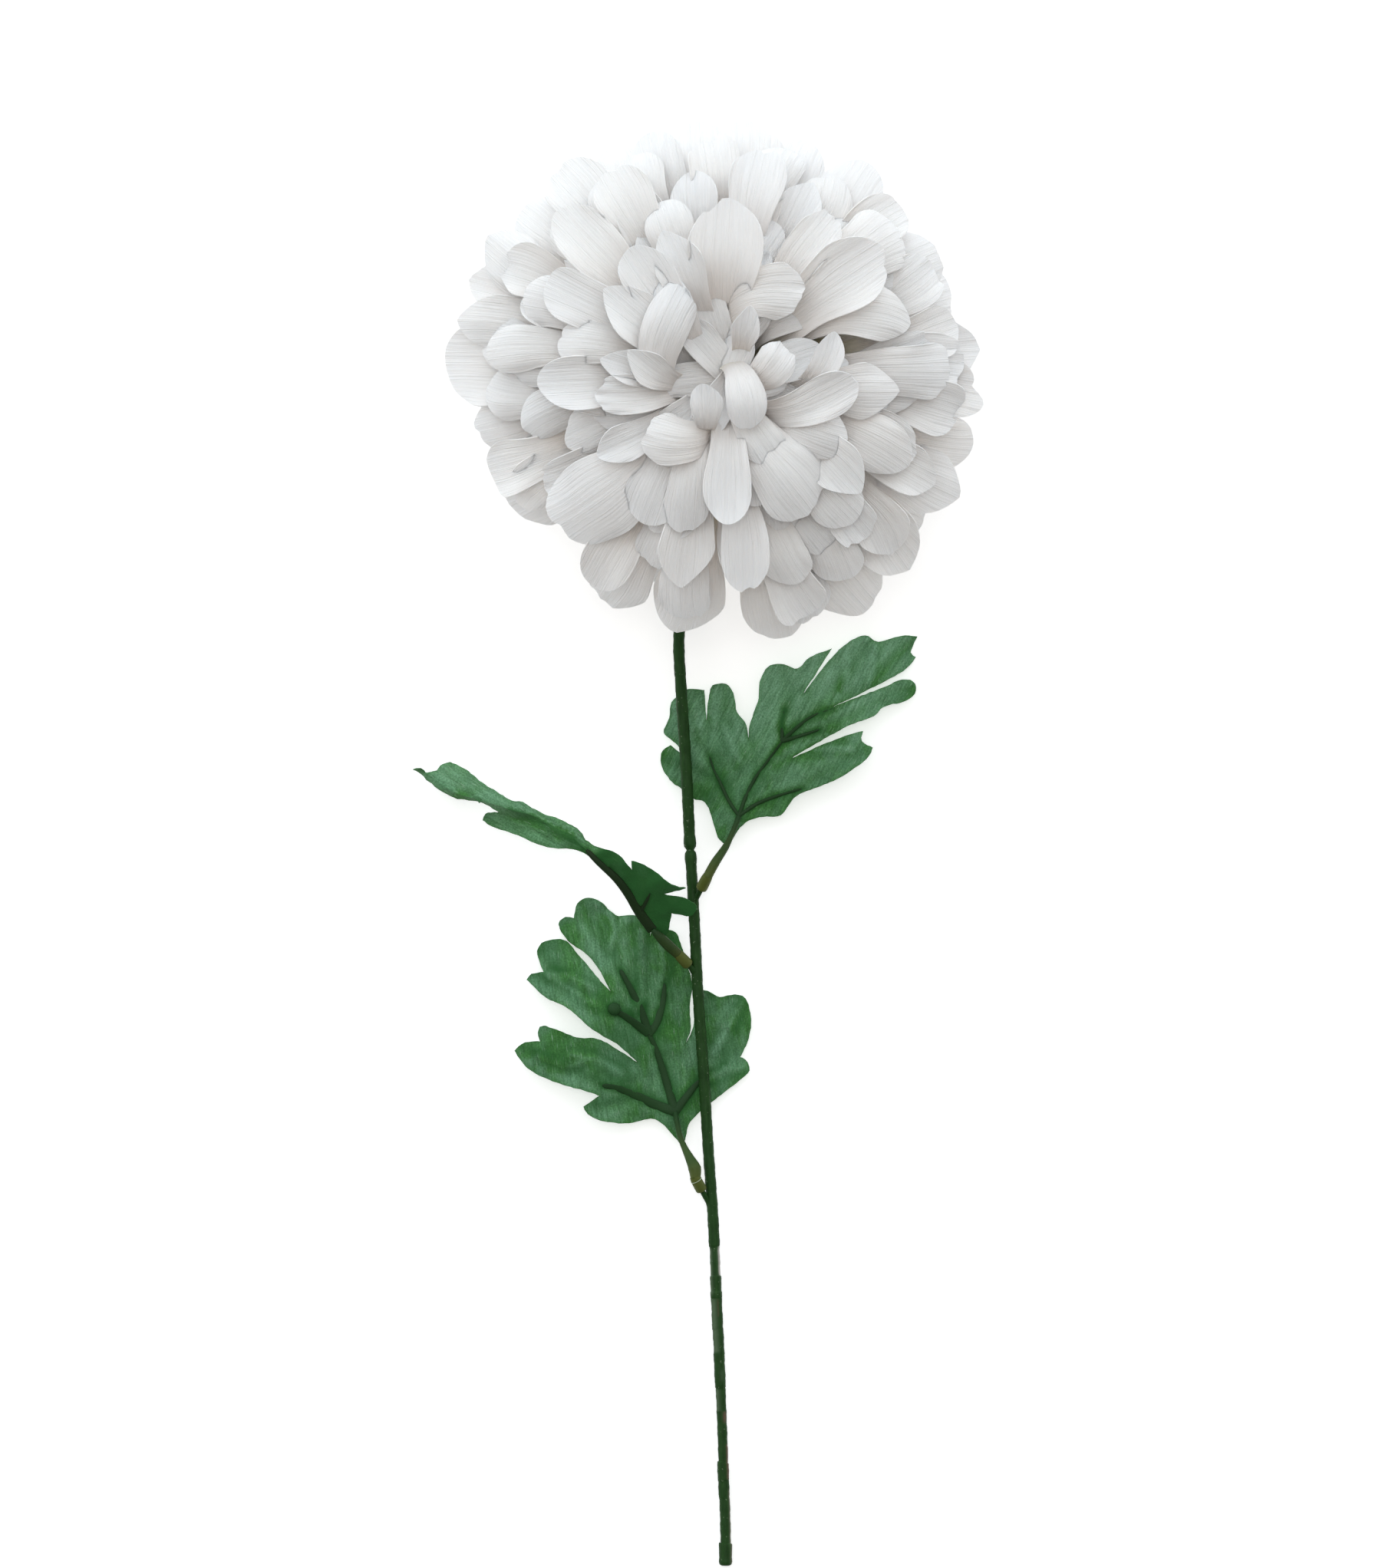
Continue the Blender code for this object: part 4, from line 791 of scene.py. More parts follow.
def edge_petals(draw):
    for azimuth, reach, width, height in EDGE_PETALS:
        tip = polar(azimuth, reach * MM, height * MM)
        middle_z = dome_height(EDGE_MIDDLE_RADIUS) - EDGE_TUCK - draw.uniform(0, 0.006)
        middle = polar(azimuth, EDGE_MIDDLE_RADIUS, middle_z)
        cup = draw.choice((-0.45, -0.3, 0.35))
        yield petal_surface(tip, middle, azimuth, width * MM, cup, draw.choice("rrrpc"),
                            draw.uniform(0, 2), EDGE_SHOWN, draw)


def back_petals(draw):
    for azimuth, reach, height, *middle, width in ring_places(BACK_RINGS, BACK_STRAY, draw):
        over_stem = angle_between(azimuth, NECK_AZIMUTH) < NECK_HALF_ANGLE
        if over_stem and height * MM < NECK_CLEAR_Z:
            continue
        tip = polar(azimuth, (reach + draw.uniform(-2, 2)) * MM, height * MM)
        middle = polar(azimuth, *scaled(middle))
        cup = draw.uniform(-0.4, -0.2)
        yield petal_surface(tip, middle, azimuth, width * MM, cup, draw.choice("rrc"),
                            draw.uniform(-1, 1), BACK_SHOWN, draw)


def foot_petals(draw):
    for azimuth in FOOT_AZIMUTHS:
        tip = polar(azimuth, FOOT_REACH, -FOOT_DIP)
        middle = polar(azimuth, *FOOT_MIDDLE)
        yield petal_surface(tip, middle, azimuth, FOOT_WIDTH, -0.15, "r", 0, FOOT_SHOWN, draw)


def make_core(material):
    """The padded ball that the petals stand out of, flat underneath."""
    centre = BLOOM_CENTRE + np.array((0, 0, CORE_Z))
    rise = math.pi * np.arange(1, CORE_RINGS)[:, None] / CORE_RINGS
    turn = 2 * math.pi * np.arange(CORE_SIDES) / CORE_SIDES
    level = np.cos(rise) * np.ones(CORE_SIDES)
    ways = np.stack((np.sin(rise) * np.cos(turn), np.sin(rise) * np.sin(turn), level), axis=-1)
    ripple = 1 + CORE_RIPPLE * np.sin(7 * turn) * np.sin(rise) ** 2
    points = centre + ways * (CORE_RADIUS * ripple)[..., None]
    points[..., 2] = np.maximum(points[..., 2], CORE_FLAT_Z)
    points = points.reshape(-1, 3)
    faces = [face[::-1] for face in ring_faces(CORE_RINGS - 1, CORE_SIDES)]
    top, bottom = len(points), len(points) + 1
    for step in range(CORE_SIDES):
        after = (step + 1) % CORE_SIDES
        last = top - CORE_SIDES
        faces += [(top, step, after), (bottom, last + after, last + step)]
    poles = (centre + np.array((0, 0, CORE_RADIUS)), (centre[0], centre[1], CORE_FLAT_Z))
    places = [(step / CORE_SIDES, 0.05) for step in range(CORE_SIDES)]
    shape = Shape()
    shape.add(np.vstack((points, poles)), faces, places)
    shape.piece("bloom_core", material, "petal")


def make_petals(name, surfaces, draw, material, *nodes):
    shape = Shape()
    for surface in surfaces:
        add_petal(shape, surface, draw)
    shape.piece(name, material, "petal", *nodes)


def make_bloom(material):
    draw = random.Random(FRONT_SEED)
    make_petals("bloom_petals_front", seen_petals(draw), draw, material, "bloom")
    make_petals("bloom_petals_inner", fill_petals(draw), draw, material)
    draw = random.Random(REAR_SEED)
    make_petals("bloom_petals_rim", edge_petals(draw), draw, material)
    rear = [*back_petals(draw), *foot_petals(draw)]
    make_petals("bloom_petals_back", rear, draw, material)
    make_core(material)


# Round pieces.

def level_side(way):
    """A level direction square to a way, or the X axis for an upright way."""
    side = np.cross(UPRIGHT, way)
    return unit(side) if np.linalg.norm(side) > 1e-4 else np.array((1.0, 0, 0))


def ring_faces(rings, count):
    """Faces between rings of points, each ring counted around the way to the next."""
    grid = np.arange(rings * count).reshape(rings, count)
    after = np.roll(grid, -1, axis=1)
    faces = np.stack((grid[:-1], after[:-1], after[1:], grid[1:]), axis=-1)
    return faces.reshape(-1, 4).tolist()


def add_rings(shape, centres, sides, ups, radii, lengths, count, tone=0.0, shade=0.0):
    """A closed form of rings around centres, with flat ends."""
    turn = 2 * math.pi * np.arange(count)[:, None] / count
    ways = sides[:, None] * np.cos(turn) + ups[:, None] * np.sin(turn)
    points = centres[:, None] + ways * np.array(radii)[:, None, None]
    points = points.reshape(-1, 3)
    around, along = np.meshgrid(np.arange(count) / count, np.array(lengths) * 10)
    faces = ring_faces(len(radii), count)
    faces += [range(count)[::-1], range(len(points) - count, len(points))]
    shape.add(points, faces, np.stack((around, along), axis=-1).reshape(-1, 2), tone, shade)


def add_tube(shape, points, radii, count, flat=1.0, tone=0.0, shade=0.0):
    """A closed tube along points, without twist; flat below 1 presses its section down."""
    points = np.array(points)
    sides, ups = [], []
    side = None
    for way in unit(np.gradient(points, axis=0)):
        side = level_side(way) if side is None else unit(side - way * side.dot(way))
        sides.append(side)
        ups.append(np.cross(way, side) * flat)
    lengths = walked_lengths(points)
    add_rings(shape, points, np.array(sides), np.array(ups), radii, lengths, count, tone, shade)


def add_turned(shape, start, ahead, profile, count, tone=0.0):
    """A closed turned form from (radius, distance) pairs along a direction."""
    side = level_side(ahead)
    up = np.cross(ahead, side)
    radii, lengths = np.array(profile).T
    centres = start + ahead * lengths[:, None]
    rings = len(profile)
    add_rings(shape, centres, np.tile(side, (rings, 1)), np.tile(up, (rings, 1)), radii, lengths,
              count, tone)


def stem_curve():
    """The stem's axis in small steps, with a pair of points at the start of each section."""
    curve = fine_route(scaled(STEM_ROUTE), STEM_STEP)
    points = []
    starts = [start * MM for start, _, _ in STEM_PARTS[1:]]
    for before, after in zip(curve[:-1], curve[1:]):
        if min(abs(before[1] - start) for start in starts) > STEM_PAIR_CLEAR:
            points.append(before)
        for start in starts:
            if before[1] >= start > after[1]:
                share = (before[1] - start) / (before[1] - after[1])
                spot = before + (after - before) * share
                step = np.array((0, STEM_PAIR, 0))
                points += [spot + step, spot - step]
    return [*points, curve[-1]]


def stem_part(place):
    """Radius and shift of the stem at a place along Y, from the last section started there."""
    radius, shift = [part[1:] for part in STEM_PARTS if place < part[0] * MM][-1]
    joint = abs(place - STEM_JOINT_Y)
    notch = STEM_NOTCH * bell(joint, STEM_NOTCH_WIDTH)
    swell = STEM_SWELL * bell(joint - STEM_SWELL_PLACE, STEM_SWELL_WIDTH)
    uneven = sum(rise * math.sin(place * turns + first) for rise, turns, first in STEM_UNEVEN)
    return radius * MM + swell - notch + uneven, shift * MM


def wear_and_highlight(place, turn):
    """How pale and how brown the stem is at a place along Y and around it: brown wear, pale partly
    wear and partly painted highlight.
    """
    marks = []
    for start, end, angle, spread, pale, brown in STEM_WEAR_AND_HIGHLIGHTS:
        ends = min(start * MM - place, place - end * MM)
        share = min(max(ends / STEM_WEAR_AND_HIGHLIGHT_EDGE + 0.5, 0.0), 1.0)
        share *= bell(angle_between(math.degrees(turn) + 180, angle), spread)
        marks.append((pale * share, brown * share))
    return np.max(marks, axis=0)


def make_stem(material):
    """The stem with its rounded lower end, and its three pegs."""
    points, radii = [], []
    for point in stem_curve():
        radius, shift = stem_part(point[1])
        points.append(point + np.array((shift, 0, 0)))
        radii.append(radius)
    ahead = unit(points[-1] - points[-3])
    end = points[-1] - ahead * STEM_CAP_ROUND
    kept = sum((point - end) @ ahead <= 0 for point in points)
    points, radii = points[:kept], radii[:kept]
    for turn in np.linspace(0, math.pi / 2, 9):
        points.append(end + ahead * STEM_CAP_ROUND * math.sin(turn))
        radii.append(STEM_CAP_RADIUS - STEM_CAP_ROUND * (1 - math.cos(turn)))
    # Pale marks, partly wear and partly painted highlight, and brown wear.
    pale, brown = np.transpose([wear_and_highlight(point[1], 2 * math.pi * step / STEM_SIDES)
                                for point in points for step in range(STEM_SIDES)])
    shape = Shape()
    add_tube(shape, points, radii, STEM_SIDES, 1.0, pale, brown)
    for start, direction, out in PEGS.values():
        length = out * MM + PEG_IN_SOCKET
        shares = np.array((0, 0.2, 0.4, 0.6, 0.8, 0.97, 1))
        wide = np.where(shares < STEM_RADIUS * 1.05 / length, 1.5, 1.0)
        wide[-1] = 0.7
        places = scaled(start) + unit(np.array(direction)) * length * shares[:, None]
        add_tube(shape, places, PEG_RADIUS * wide, PEG_SIDES)
    shape.piece("stem_fine", material, "stem", "stem")


def make_calyx(material):
    """A cup that widens to the petals, bored for the stem."""
    bore = STEM_RADIUS + BORE_GAP
    height = CALYX_TOP_Z - CALYX_BOTTOM_Z
    profile = [(bore, CALYX_BORE_DEPTH), (bore, 0.0), *CALYX_FOOT]
    foot_radius, foot_height = CALYX_FOOT[-1]
    side_height = height - foot_height - CALYX_LIP
    for share in np.arange(1, 13) / 12:
        widen = (CALYX_TOP_RADIUS - foot_radius) * smooth_step(share, 0.25, 1.0)
        profile.append((foot_radius + widen, foot_height + side_height * share))
    profile += [(CALYX_TOP_RADIUS * 0.97, height - 0.0001), (CALYX_TOP_RADIUS * 0.6, height)]
    shape = Shape()
    add_turned(shape, BLOOM_CENTRE + UPRIGHT * CALYX_BOTTOM_Z, UPRIGHT, profile, CALYX_SIDES)
    shape.piece("calyx_fine", material, "calyx", "calyx")


# Leaves.

def nearest(places, routes):
    """Distance of each place to the nearest route, with its side and its way along the route."""
    best = np.full(len(places), 1e9)
    signed = np.zeros(len(places))
    along = np.zeros(len(places))
    for route in routes:
        walked = 0.0
        for start, end in zip(route[:-1], route[1:]):
            way = end - start
            length = np.linalg.norm(way)
            share = np.clip(((places - start) @ way) / (length * length), 0, 1)
            offset = places - (start + share[:, None] * way)
            reach = np.linalg.norm(offset, axis=1)
            nearer = reach < best
            side = np.sign(way[0] * offset[:, 1] - way[1] * offset[:, 0])
            best = np.where(nearer, reach, best)
            signed = np.where(nearer, side * reach, signed)
            along = np.where(nearer, walked + share * length, along)
            walked += length
    return best, signed, along


def nearest_edge(places, outline):
    """Distance of each place to an outline, and its way along it."""
    reach, _, along = nearest(places, [np.vstack((outline, outline[:1]))])
    return reach, along


def inside(places, corners):
    """Which places lie inside an outline."""
    result = np.zeros(len(places), dtype=bool)
    x, y = places.T
    for start, end in zip(corners, np.roll(corners, -1, axis=0)):
        crosses = (start[1] > y) != (end[1] > y)
        span = end[1] - start[1]
        where = start[0] + (end[0] - start[0]) * (y - start[1]) / (span if abs(span) > 1e-12 else 1)
        result ^= crosses & (x < where)
    return result


def smooth_outline(corners, draw):
    """Rounds an outline between its sharp corners, with the fine teeth of a cut edge."""
    befores = corners - np.roll(corners, 1, axis=0)
    afters = np.roll(corners, -1, axis=0) - corners
    sharp = []
    for before, after in zip(befores, afters):
        turn = math.atan2(before[0] * after[1] - before[1] * after[0], before @ after)
        sharp.append(abs(turn) > math.radians(SHARP_TURN))
    result = []
    count = len(corners)
    for index in range(count):
        start, end = corners[index], corners[(index + 1) % count]
        before = start if sharp[index] else corners[index - 1]
        after = end if sharp[(index + 1) % count] else corners[(index + 2) % count]
        way = unit(end - start)
        parts = max(1, int(round(np.linalg.norm(end - start) / EDGE_STEP)))
        for part in range(parts):
            spot = curve_point(before, start, end, after, part / parts)
            if part:
                tooth = draw.uniform(-EDGE_TOOTH, EDGE_TOOTH)
                spot = spot + np.array((way[1], -way[0])) * tooth
            result.append(spot)
    return np.array(result)


def flat_mesh(outline, creases, grid):
    """Triangles of a flat outline with creases as edges."""
    points = [*outline]
    edges = []
    routes = [fine_route(crease, grid) for crease in creases]
    for route in routes:
        keep = inside(route, outline) & (nearest_edge(route, outline)[0] > grid * 0.3)
        for index, spot in enumerate(route):
            if keep[index]:
                points.append(spot)
                if index and keep[index - 1]:
                    edges.append((len(points) - 2, len(points) - 1))
    low, high = outline.min(axis=0), outline.max(axis=0)
    rows = int((high[1] - low[1]) / (grid * ROW_SPACING)) + 1
    columns = int((high[0] - low[0]) / grid) + 2
    spots = low + np.array([((column + 0.5 * (row % 2)) * grid, row * grid * ROW_SPACING)
                            for row in range(rows) for column in range(columns)])
    spots = spots[inside(spots, outline)]
    clear = (nearest_edge(spots, outline)[0] > grid * 0.45)
    clear &= nearest(spots, routes)[0] > grid * 0.5
    points = [Vector(point) for point in (*points, *spots[clear])]
    face = list(range(len(outline)))
    result = geometry.delaunay_2d_cdt(points, edges, [face], 1, 1e-7, False)
    flat = np.array([tuple(point) for point in result[0]])
    triangles = np.array([face for face in result[2] if len(face) == 3])
    triangles = triangles[inside(flat[triangles].mean(axis=1), outline)]
    used = np.unique(triangles)
    order = np.full(len(flat), -1)
    order[used] = np.arange(len(used))
    return flat[used], order[triangles]


def vertex_normals(points, triangles):
    normals = np.zeros_like(points)
    a, b, c = points[triangles.T]
    for corner in triangles.T:
        np.add.at(normals, corner, np.cross(b - a, c - a))
    return unit(normals)


def crumple(places, size, seed):
    """Soft noise over the fabric, with features of about a size."""
    return np.array([noise.noise(Vector((x / size, y / size, seed))) for x, y in places])


def blade_relief(flat, start, fold, pleat_reach, edge, seed):
    """How far the fabric stands up: grooves, pleats, side veins, a ruffled edge and puckers."""
    fold_reach, _, fold_along = fold
    edge_reach, edge_along = edge
    relief = -GROOVE * np.exp(-fold_reach / GROOVE_WIDTH)
    relief += PLEAT * np.exp(-pleat_reach / PLEAT_WIDTH)
    slant = (fold_along + fold_reach * SIDE_VEIN_SLANT) / SIDE_VEIN_STEP * 2 * math.pi
    relief += SIDE_VEIN * np.sin(slant) * bell(fold_reach - SIDE_VEIN_WIDTH, SIDE_VEIN_WIDTH)
    relief += RUFFLE * np.sin(edge_along / RUFFLE_LENGTH) * np.exp(-edge_reach / RUFFLE_WIDTH)
    soft = SOFT_WAVE * crumple(flat, SOFT_WAVE_WIDTH, seed)
    soft += FINE_WAVE * crumple(flat, FINE_WAVE_WIDTH, seed + 3)
    pucker = 1 - 2 * np.abs(crumple(flat, PUCKER_WIDTH, seed + 8))
    soft += PUCKER * np.clip(pucker, 0, 1) ** 3
    keep = smooth_step(np.linalg.norm(flat - start, axis=1), 0.0, EVEN_REACH)
    return relief * (0.3 + 0.7 * keep) + soft * keep


def painted_pleat_and_fold_light(rib_reach, fold_side, pleat_reach):
    """Painted highlight on the pleats between lines of painted shade, and a side of painted shade
    and a side of painted light on each fold.
    """
    dark = 0.36 * bell(pleat_reach - 0.0024, 0.0012) - 0.46 * bell(pleat_reach, 0.0010)
    free = np.clip(rib_reach / 0.003, 0, 1)
    sides = bell(fold_side + 0.0018, 0.0016) - bell(fold_side - 0.0028, 0.0015)
    return dark + 0.34 * free * sides


def make_blade(side, outline, ribs, folds, pleats, lift, shade, material):
    """A fabric leaf: creased along its ribs and folds, crumpled, and thickened."""
    seed, grain, _ = LEAF_LOOKS[side]
    outline = smooth_outline(outline, random.Random(seed))
    flat, triangles = flat_mesh(outline, [*ribs, *folds, *pleats], BLADE_GRID)
    rib_reach, _, rib_along = nearest(flat, ribs)
    fold = nearest(flat, [*ribs, *folds])
    edge = nearest_edge(flat, outline)
    pleat_reach = nearest(flat, pleats)[0] if pleats else np.full(len(flat), np.inf)
    middle = lift(flat)
    relief = blade_relief(flat, ribs[0][0], fold, pleat_reach, edge, seed)
    middle = middle + vertex_normals(middle, triangles) * relief[:, None]
    half = BLADE_THICKNESS / 2
    middle[:, 2] = np.maximum(middle[:, 2], half + FLOOR_CLEAR)
    normals = vertex_normals(middle, triangles)
    # Dark by the ribs, partly their own colour and partly painted crease shade; painted shade in
    # the folds' creases; darker along the edge.
    tone = 0.8 * np.exp(-rib_reach / RIB_DARK_WIDTH) + 0.28 * np.exp(-fold[0] / GROOVE_WIDTH)
    tone = np.clip(tone + 0.6 * bell(edge[0], EDGE_DARK_WIDTH), 0, 1)
    dark = shade(flat, rib_reach, rib_along)
    # Painted highlight and shade along the pleats and the folds.
    if pleats:
        dark = dark + painted_pleat_and_fold_light(rib_reach, fold[1], pleat_reach)
    clouds = 0.35 * crumple(flat, 0.014, seed + 21) + 0.25 * crumple(flat, 0.005, seed + 9)
    turn = math.radians(grain)
    slant = np.array(((math.cos(turn), -math.sin(turn)), (math.sin(turn), math.cos(turn))))
    shape = Shape()
    add_blade(shape, middle + normals * half, middle - normals * half, triangles.tolist(),
              flat @ slant * 10, tone, dark + clouds)
    shape.piece(f"leaf_{side}_blade_fine", material, "leaf", f"leaf_{side}_blade",
                angle=BLADE_SMOOTH_ANGLE)


def flat_height(places, base_z, side, start, full, arch, span, end, wave, first, least, sag,
                droop):
    """Height of a leaf that lies flat on one side and is arched on the other."""
    reach = np.linalg.norm(places, axis=1)
    free = smooth_step(side * places[:, 0], start, full)
    arched = arch * free * np.sin(math.pi * np.minimum(reach / span, end))
    turn = np.arctan2(places[:, 1], places[:, 0])
    waved = wave * np.sin(5 * turn + first) * smooth_step(reach, 0.02, 0.06)
    sagged = sag * reach + droop * (1 - free) * smooth_step(reach, 0.02, 0.05)
    return base_z - sagged + arched + waved * (least + (1 - least) * free)


def left_height(places):
    """Height of the left leaf, from how far a point is along its midrib and to which side."""
    midrib = scaled(LEFT_MIDRIB)
    reach, side, along = nearest(places + scaled(LEFT_BASE), [midrib[:, :2]])
    ridge = np.interp(along, walked_lengths(midrib[:, :2]), midrib[:, 2])
    fold = LEFT_FOLD_WIDTH * smooth_step(along, *LEFT_FOLD_FROM)
    near = np.where(side < 0, LEFT_RISE_NEAR, -LEFT_DROP_NEAR) * reach
    below = LEFT_FOLD_DROP * np.minimum(reach, fold) + LEFT_LOBE_DROP * np.maximum(reach - fold, 0)
    far = -np.where(side < 0, LEFT_DROP_FAR * reach, below)
    return ridge + near + (far - near) * smooth_step(along, *LEFT_TURN)


def patches(flat, table):
    """How much darker soft round patches make each place."""
    total = np.zeros(len(flat))
    for x, y, size, amount in table:
        reach = np.hypot(flat[:, 0] - x * MM, flat[:, 1] - y * MM)
        total += amount * bell(reach, size * MM)
    return total


def right_shade(flat, rib_reach, rib_along):
    """Painted light that makes the right leaf paler towards its tips, against the bloom's shadow,
    its own soft patches, and a narrow line of painted crease shade along each rib.
    """
    # Painted light: paler towards the tips, where the bloom shades the leaf; the patches are the
    # fabric's own colour.
    pale = -0.16 - 0.56 * smooth_step(flat[:, 1], 0.005, 0.050) + patches(flat, RIGHT_PATCHES)
    # Painted shade: a narrow dark line in the crease along each rib.
    line = bell(rib_reach, 0.0012)
    return pale * (1 - line) + 0.9 * line


def lower_shade(flat, rib_reach, rib_along):
    """A broad dark band along each rib of the lower leaf, narrower towards the tip."""
    wide = 0.0024 - 0.0011 * smooth_step(rib_along, 0.0, 0.030)
    band = np.exp(-(rib_reach / wide) ** 3)
    soft = 0.18 * bell(rib_reach, 0.0060) + patches(flat, LOWER_PATCHES)
    return 0.95 * band + (1 - band) * soft


def left_shade(flat, rib_reach, rib_along):
    """The left leaf is dark on its turned part and pale beyond, with a strip of painted shade under
    the ridge fold.
    """
    reach, side, along = nearest(flat + scaled(LEFT_BASE), [scaled(LEFT_MIDRIB)[:, :2]])
    far = smooth_step(along, *LEFT_PALE_FROM)
    # Painted shade: the dark strip on the lower side of the ridge fold, going on further out beyond
    # it, and a thin line along the ridge.
    below = bell(reach, LEFT_STRIP) * (1 - 0.75 * smooth_step(along, *LEFT_STRIP_FADE))
    beyond = 0.5 * bell(reach - LEFT_STRIP, 0.0022) * smooth_step(along, *LEFT_STRIP_BEYOND)
    strip = np.where(side > 0, np.maximum(below, beyond), bell(reach, 0.0004))
    return 1 - far + far * (1.3 * strip - 0.42)


def add_ribs(shape, ribs, lift, width, flat, sunk, dark, side_share):
    """Moulded ribs that run over the blade, partly sunk in it; the first one is the midrib."""
    for place, rib in enumerate(ribs):
        points = lift(fine_route(rib, 0.0016)) + UPRIGHT * (BLADE_THICKNESS / 2 - sunk)
        taper = np.linspace(0, 1, len(points)) ** 1.6
        radii = RIB_RADIUS + (RIB_TIP_RADIUS - RIB_RADIUS) * taper
        radii *= width * (side_share if place else 1.0)
        radii[-1] *= 0.5
        add_tube(shape, points, radii, RIB_SIDES, flat, 0.0, dark)


def add_stalk(shape, side, rib_start):
    """The moulded stalk: a rounded socket over the stem's peg, and a tapered stalk."""
    start, direction, out = PEGS[side]
    stalk, stalk_radii, darker = STALKS[side]
    ahead = unit(np.array(direction))
    mouth = scaled(start) + ahead * out * MM
    depth = PEG_IN_SOCKET + BORE_GAP
    length = depth + SOCKET_ROOF
    bore = PEG_RADIUS + BORE_GAP
    profile = [(bore, depth), (bore, 0.0)]
    profile += [(SOCKET_RADIUS * wide, rise) for wide, rise in SOCKET_MOUTH]
    profile += [(SOCKET_RADIUS * wide, length * share) for wide, share in SOCKET_BODY]
    add_turned(shape, mouth, ahead, profile, SOCKET_SIDES, 1.0)
    if side == "lower":
        ring = [(SOCKET_RADIUS * wide, length * SEAM_PLACE + rise) for wide, rise in SEAM_RING]
        add_turned(shape, mouth, ahead, ring, SOCKET_SIDES, 2.0)
    points = [mouth + ahead * (depth + 0.0006), *scaled(stalk), rib_start]
    radii = [SOCKET_RADIUS * 0.84, *scaled(stalk_radii), RIB_RADIUS * 1.05]
    places = np.linspace(0, len(points) - 1, STALK_STEPS * (len(points) - 1) + 1)
    curve = [route_point(points, place) for place in places]
    sizes = np.interp(places, range(len(radii)), radii)
    along = np.linspace(0, 1, len(curve))
    tones = 0.30 + 0.50 * (1 - smooth_step(along, 0.05, 0.30)) - 0.30 * smooth_step(along, 0.5, 1.0)
    add_tube(shape, curve, sizes, STALK_SIDES, 1.0, np.repeat(tones, STALK_SIDES), darker)


def add_knob(shape, foot):
    """A round knob on the lower leaf's blade."""
    wide = KNOB_RADIUS * 1.12
    profile = [(wide * 0.95, -0.0004), (wide, 0.0), (wide, KNOB_LIFT)]
    for turn in math.pi / 2 * np.arange(1, 8) / 8:
        profile.append((wide * math.cos(turn), KNOB_LIFT + KNOB_DOME * math.sin(turn)))
    add_turned(shape, foot, UPRIGHT, profile, KNOB_SIDES)


def make_leaf(side, base, height, shade, outline, ribs, folds, pleats, fabric, plastic,
              knob=None):
    """One leaf from its plan, which is in millimetres from the base of the leaf."""
    outline = scaled(outline)
    ribs, folds, pleats = ([scaled(line) for line in lines] for lines in (ribs, folds, pleats))
    origin = np.array((*scaled(base), 0))

    def lift(places):
        ridge = bell(nearest(places, ribs)[0], RIB_RELIEF_WIDTH)
        raised = np.maximum(height(places) + RIB_RELIEF * (ridge - 1), LOWEST_BLADE_Z)
        return origin + np.column_stack((places, raised))

    make_blade(side, outline, ribs, folds, pleats, lift, shade, fabric)
    shape = Shape()
    add_ribs(shape, ribs, lift, *LEAF_LOOKS[side][2])
    if knob:
        place = scaled(knob) - origin[:2]
        add_knob(shape, lift(place[None, :])[0] + UPRIGHT * BLADE_THICKNESS / 2)
    rib_start = lift(np.zeros((1, 2)))[0] + UPRIGHT * (RIB_RADIUS + 0.0007)
    add_stalk(shape, side, rib_start)
    shape.piece(f"leaf_{side}_stalk_fine", plastic, "stalk", f"leaf_{side}_stalk")


def from_base(points):
    """Moves points of the left leaf's plan to its base."""
    return [(x - LEFT_BASE[0], y - LEFT_BASE[1]) for x, y in points]


# Materials.

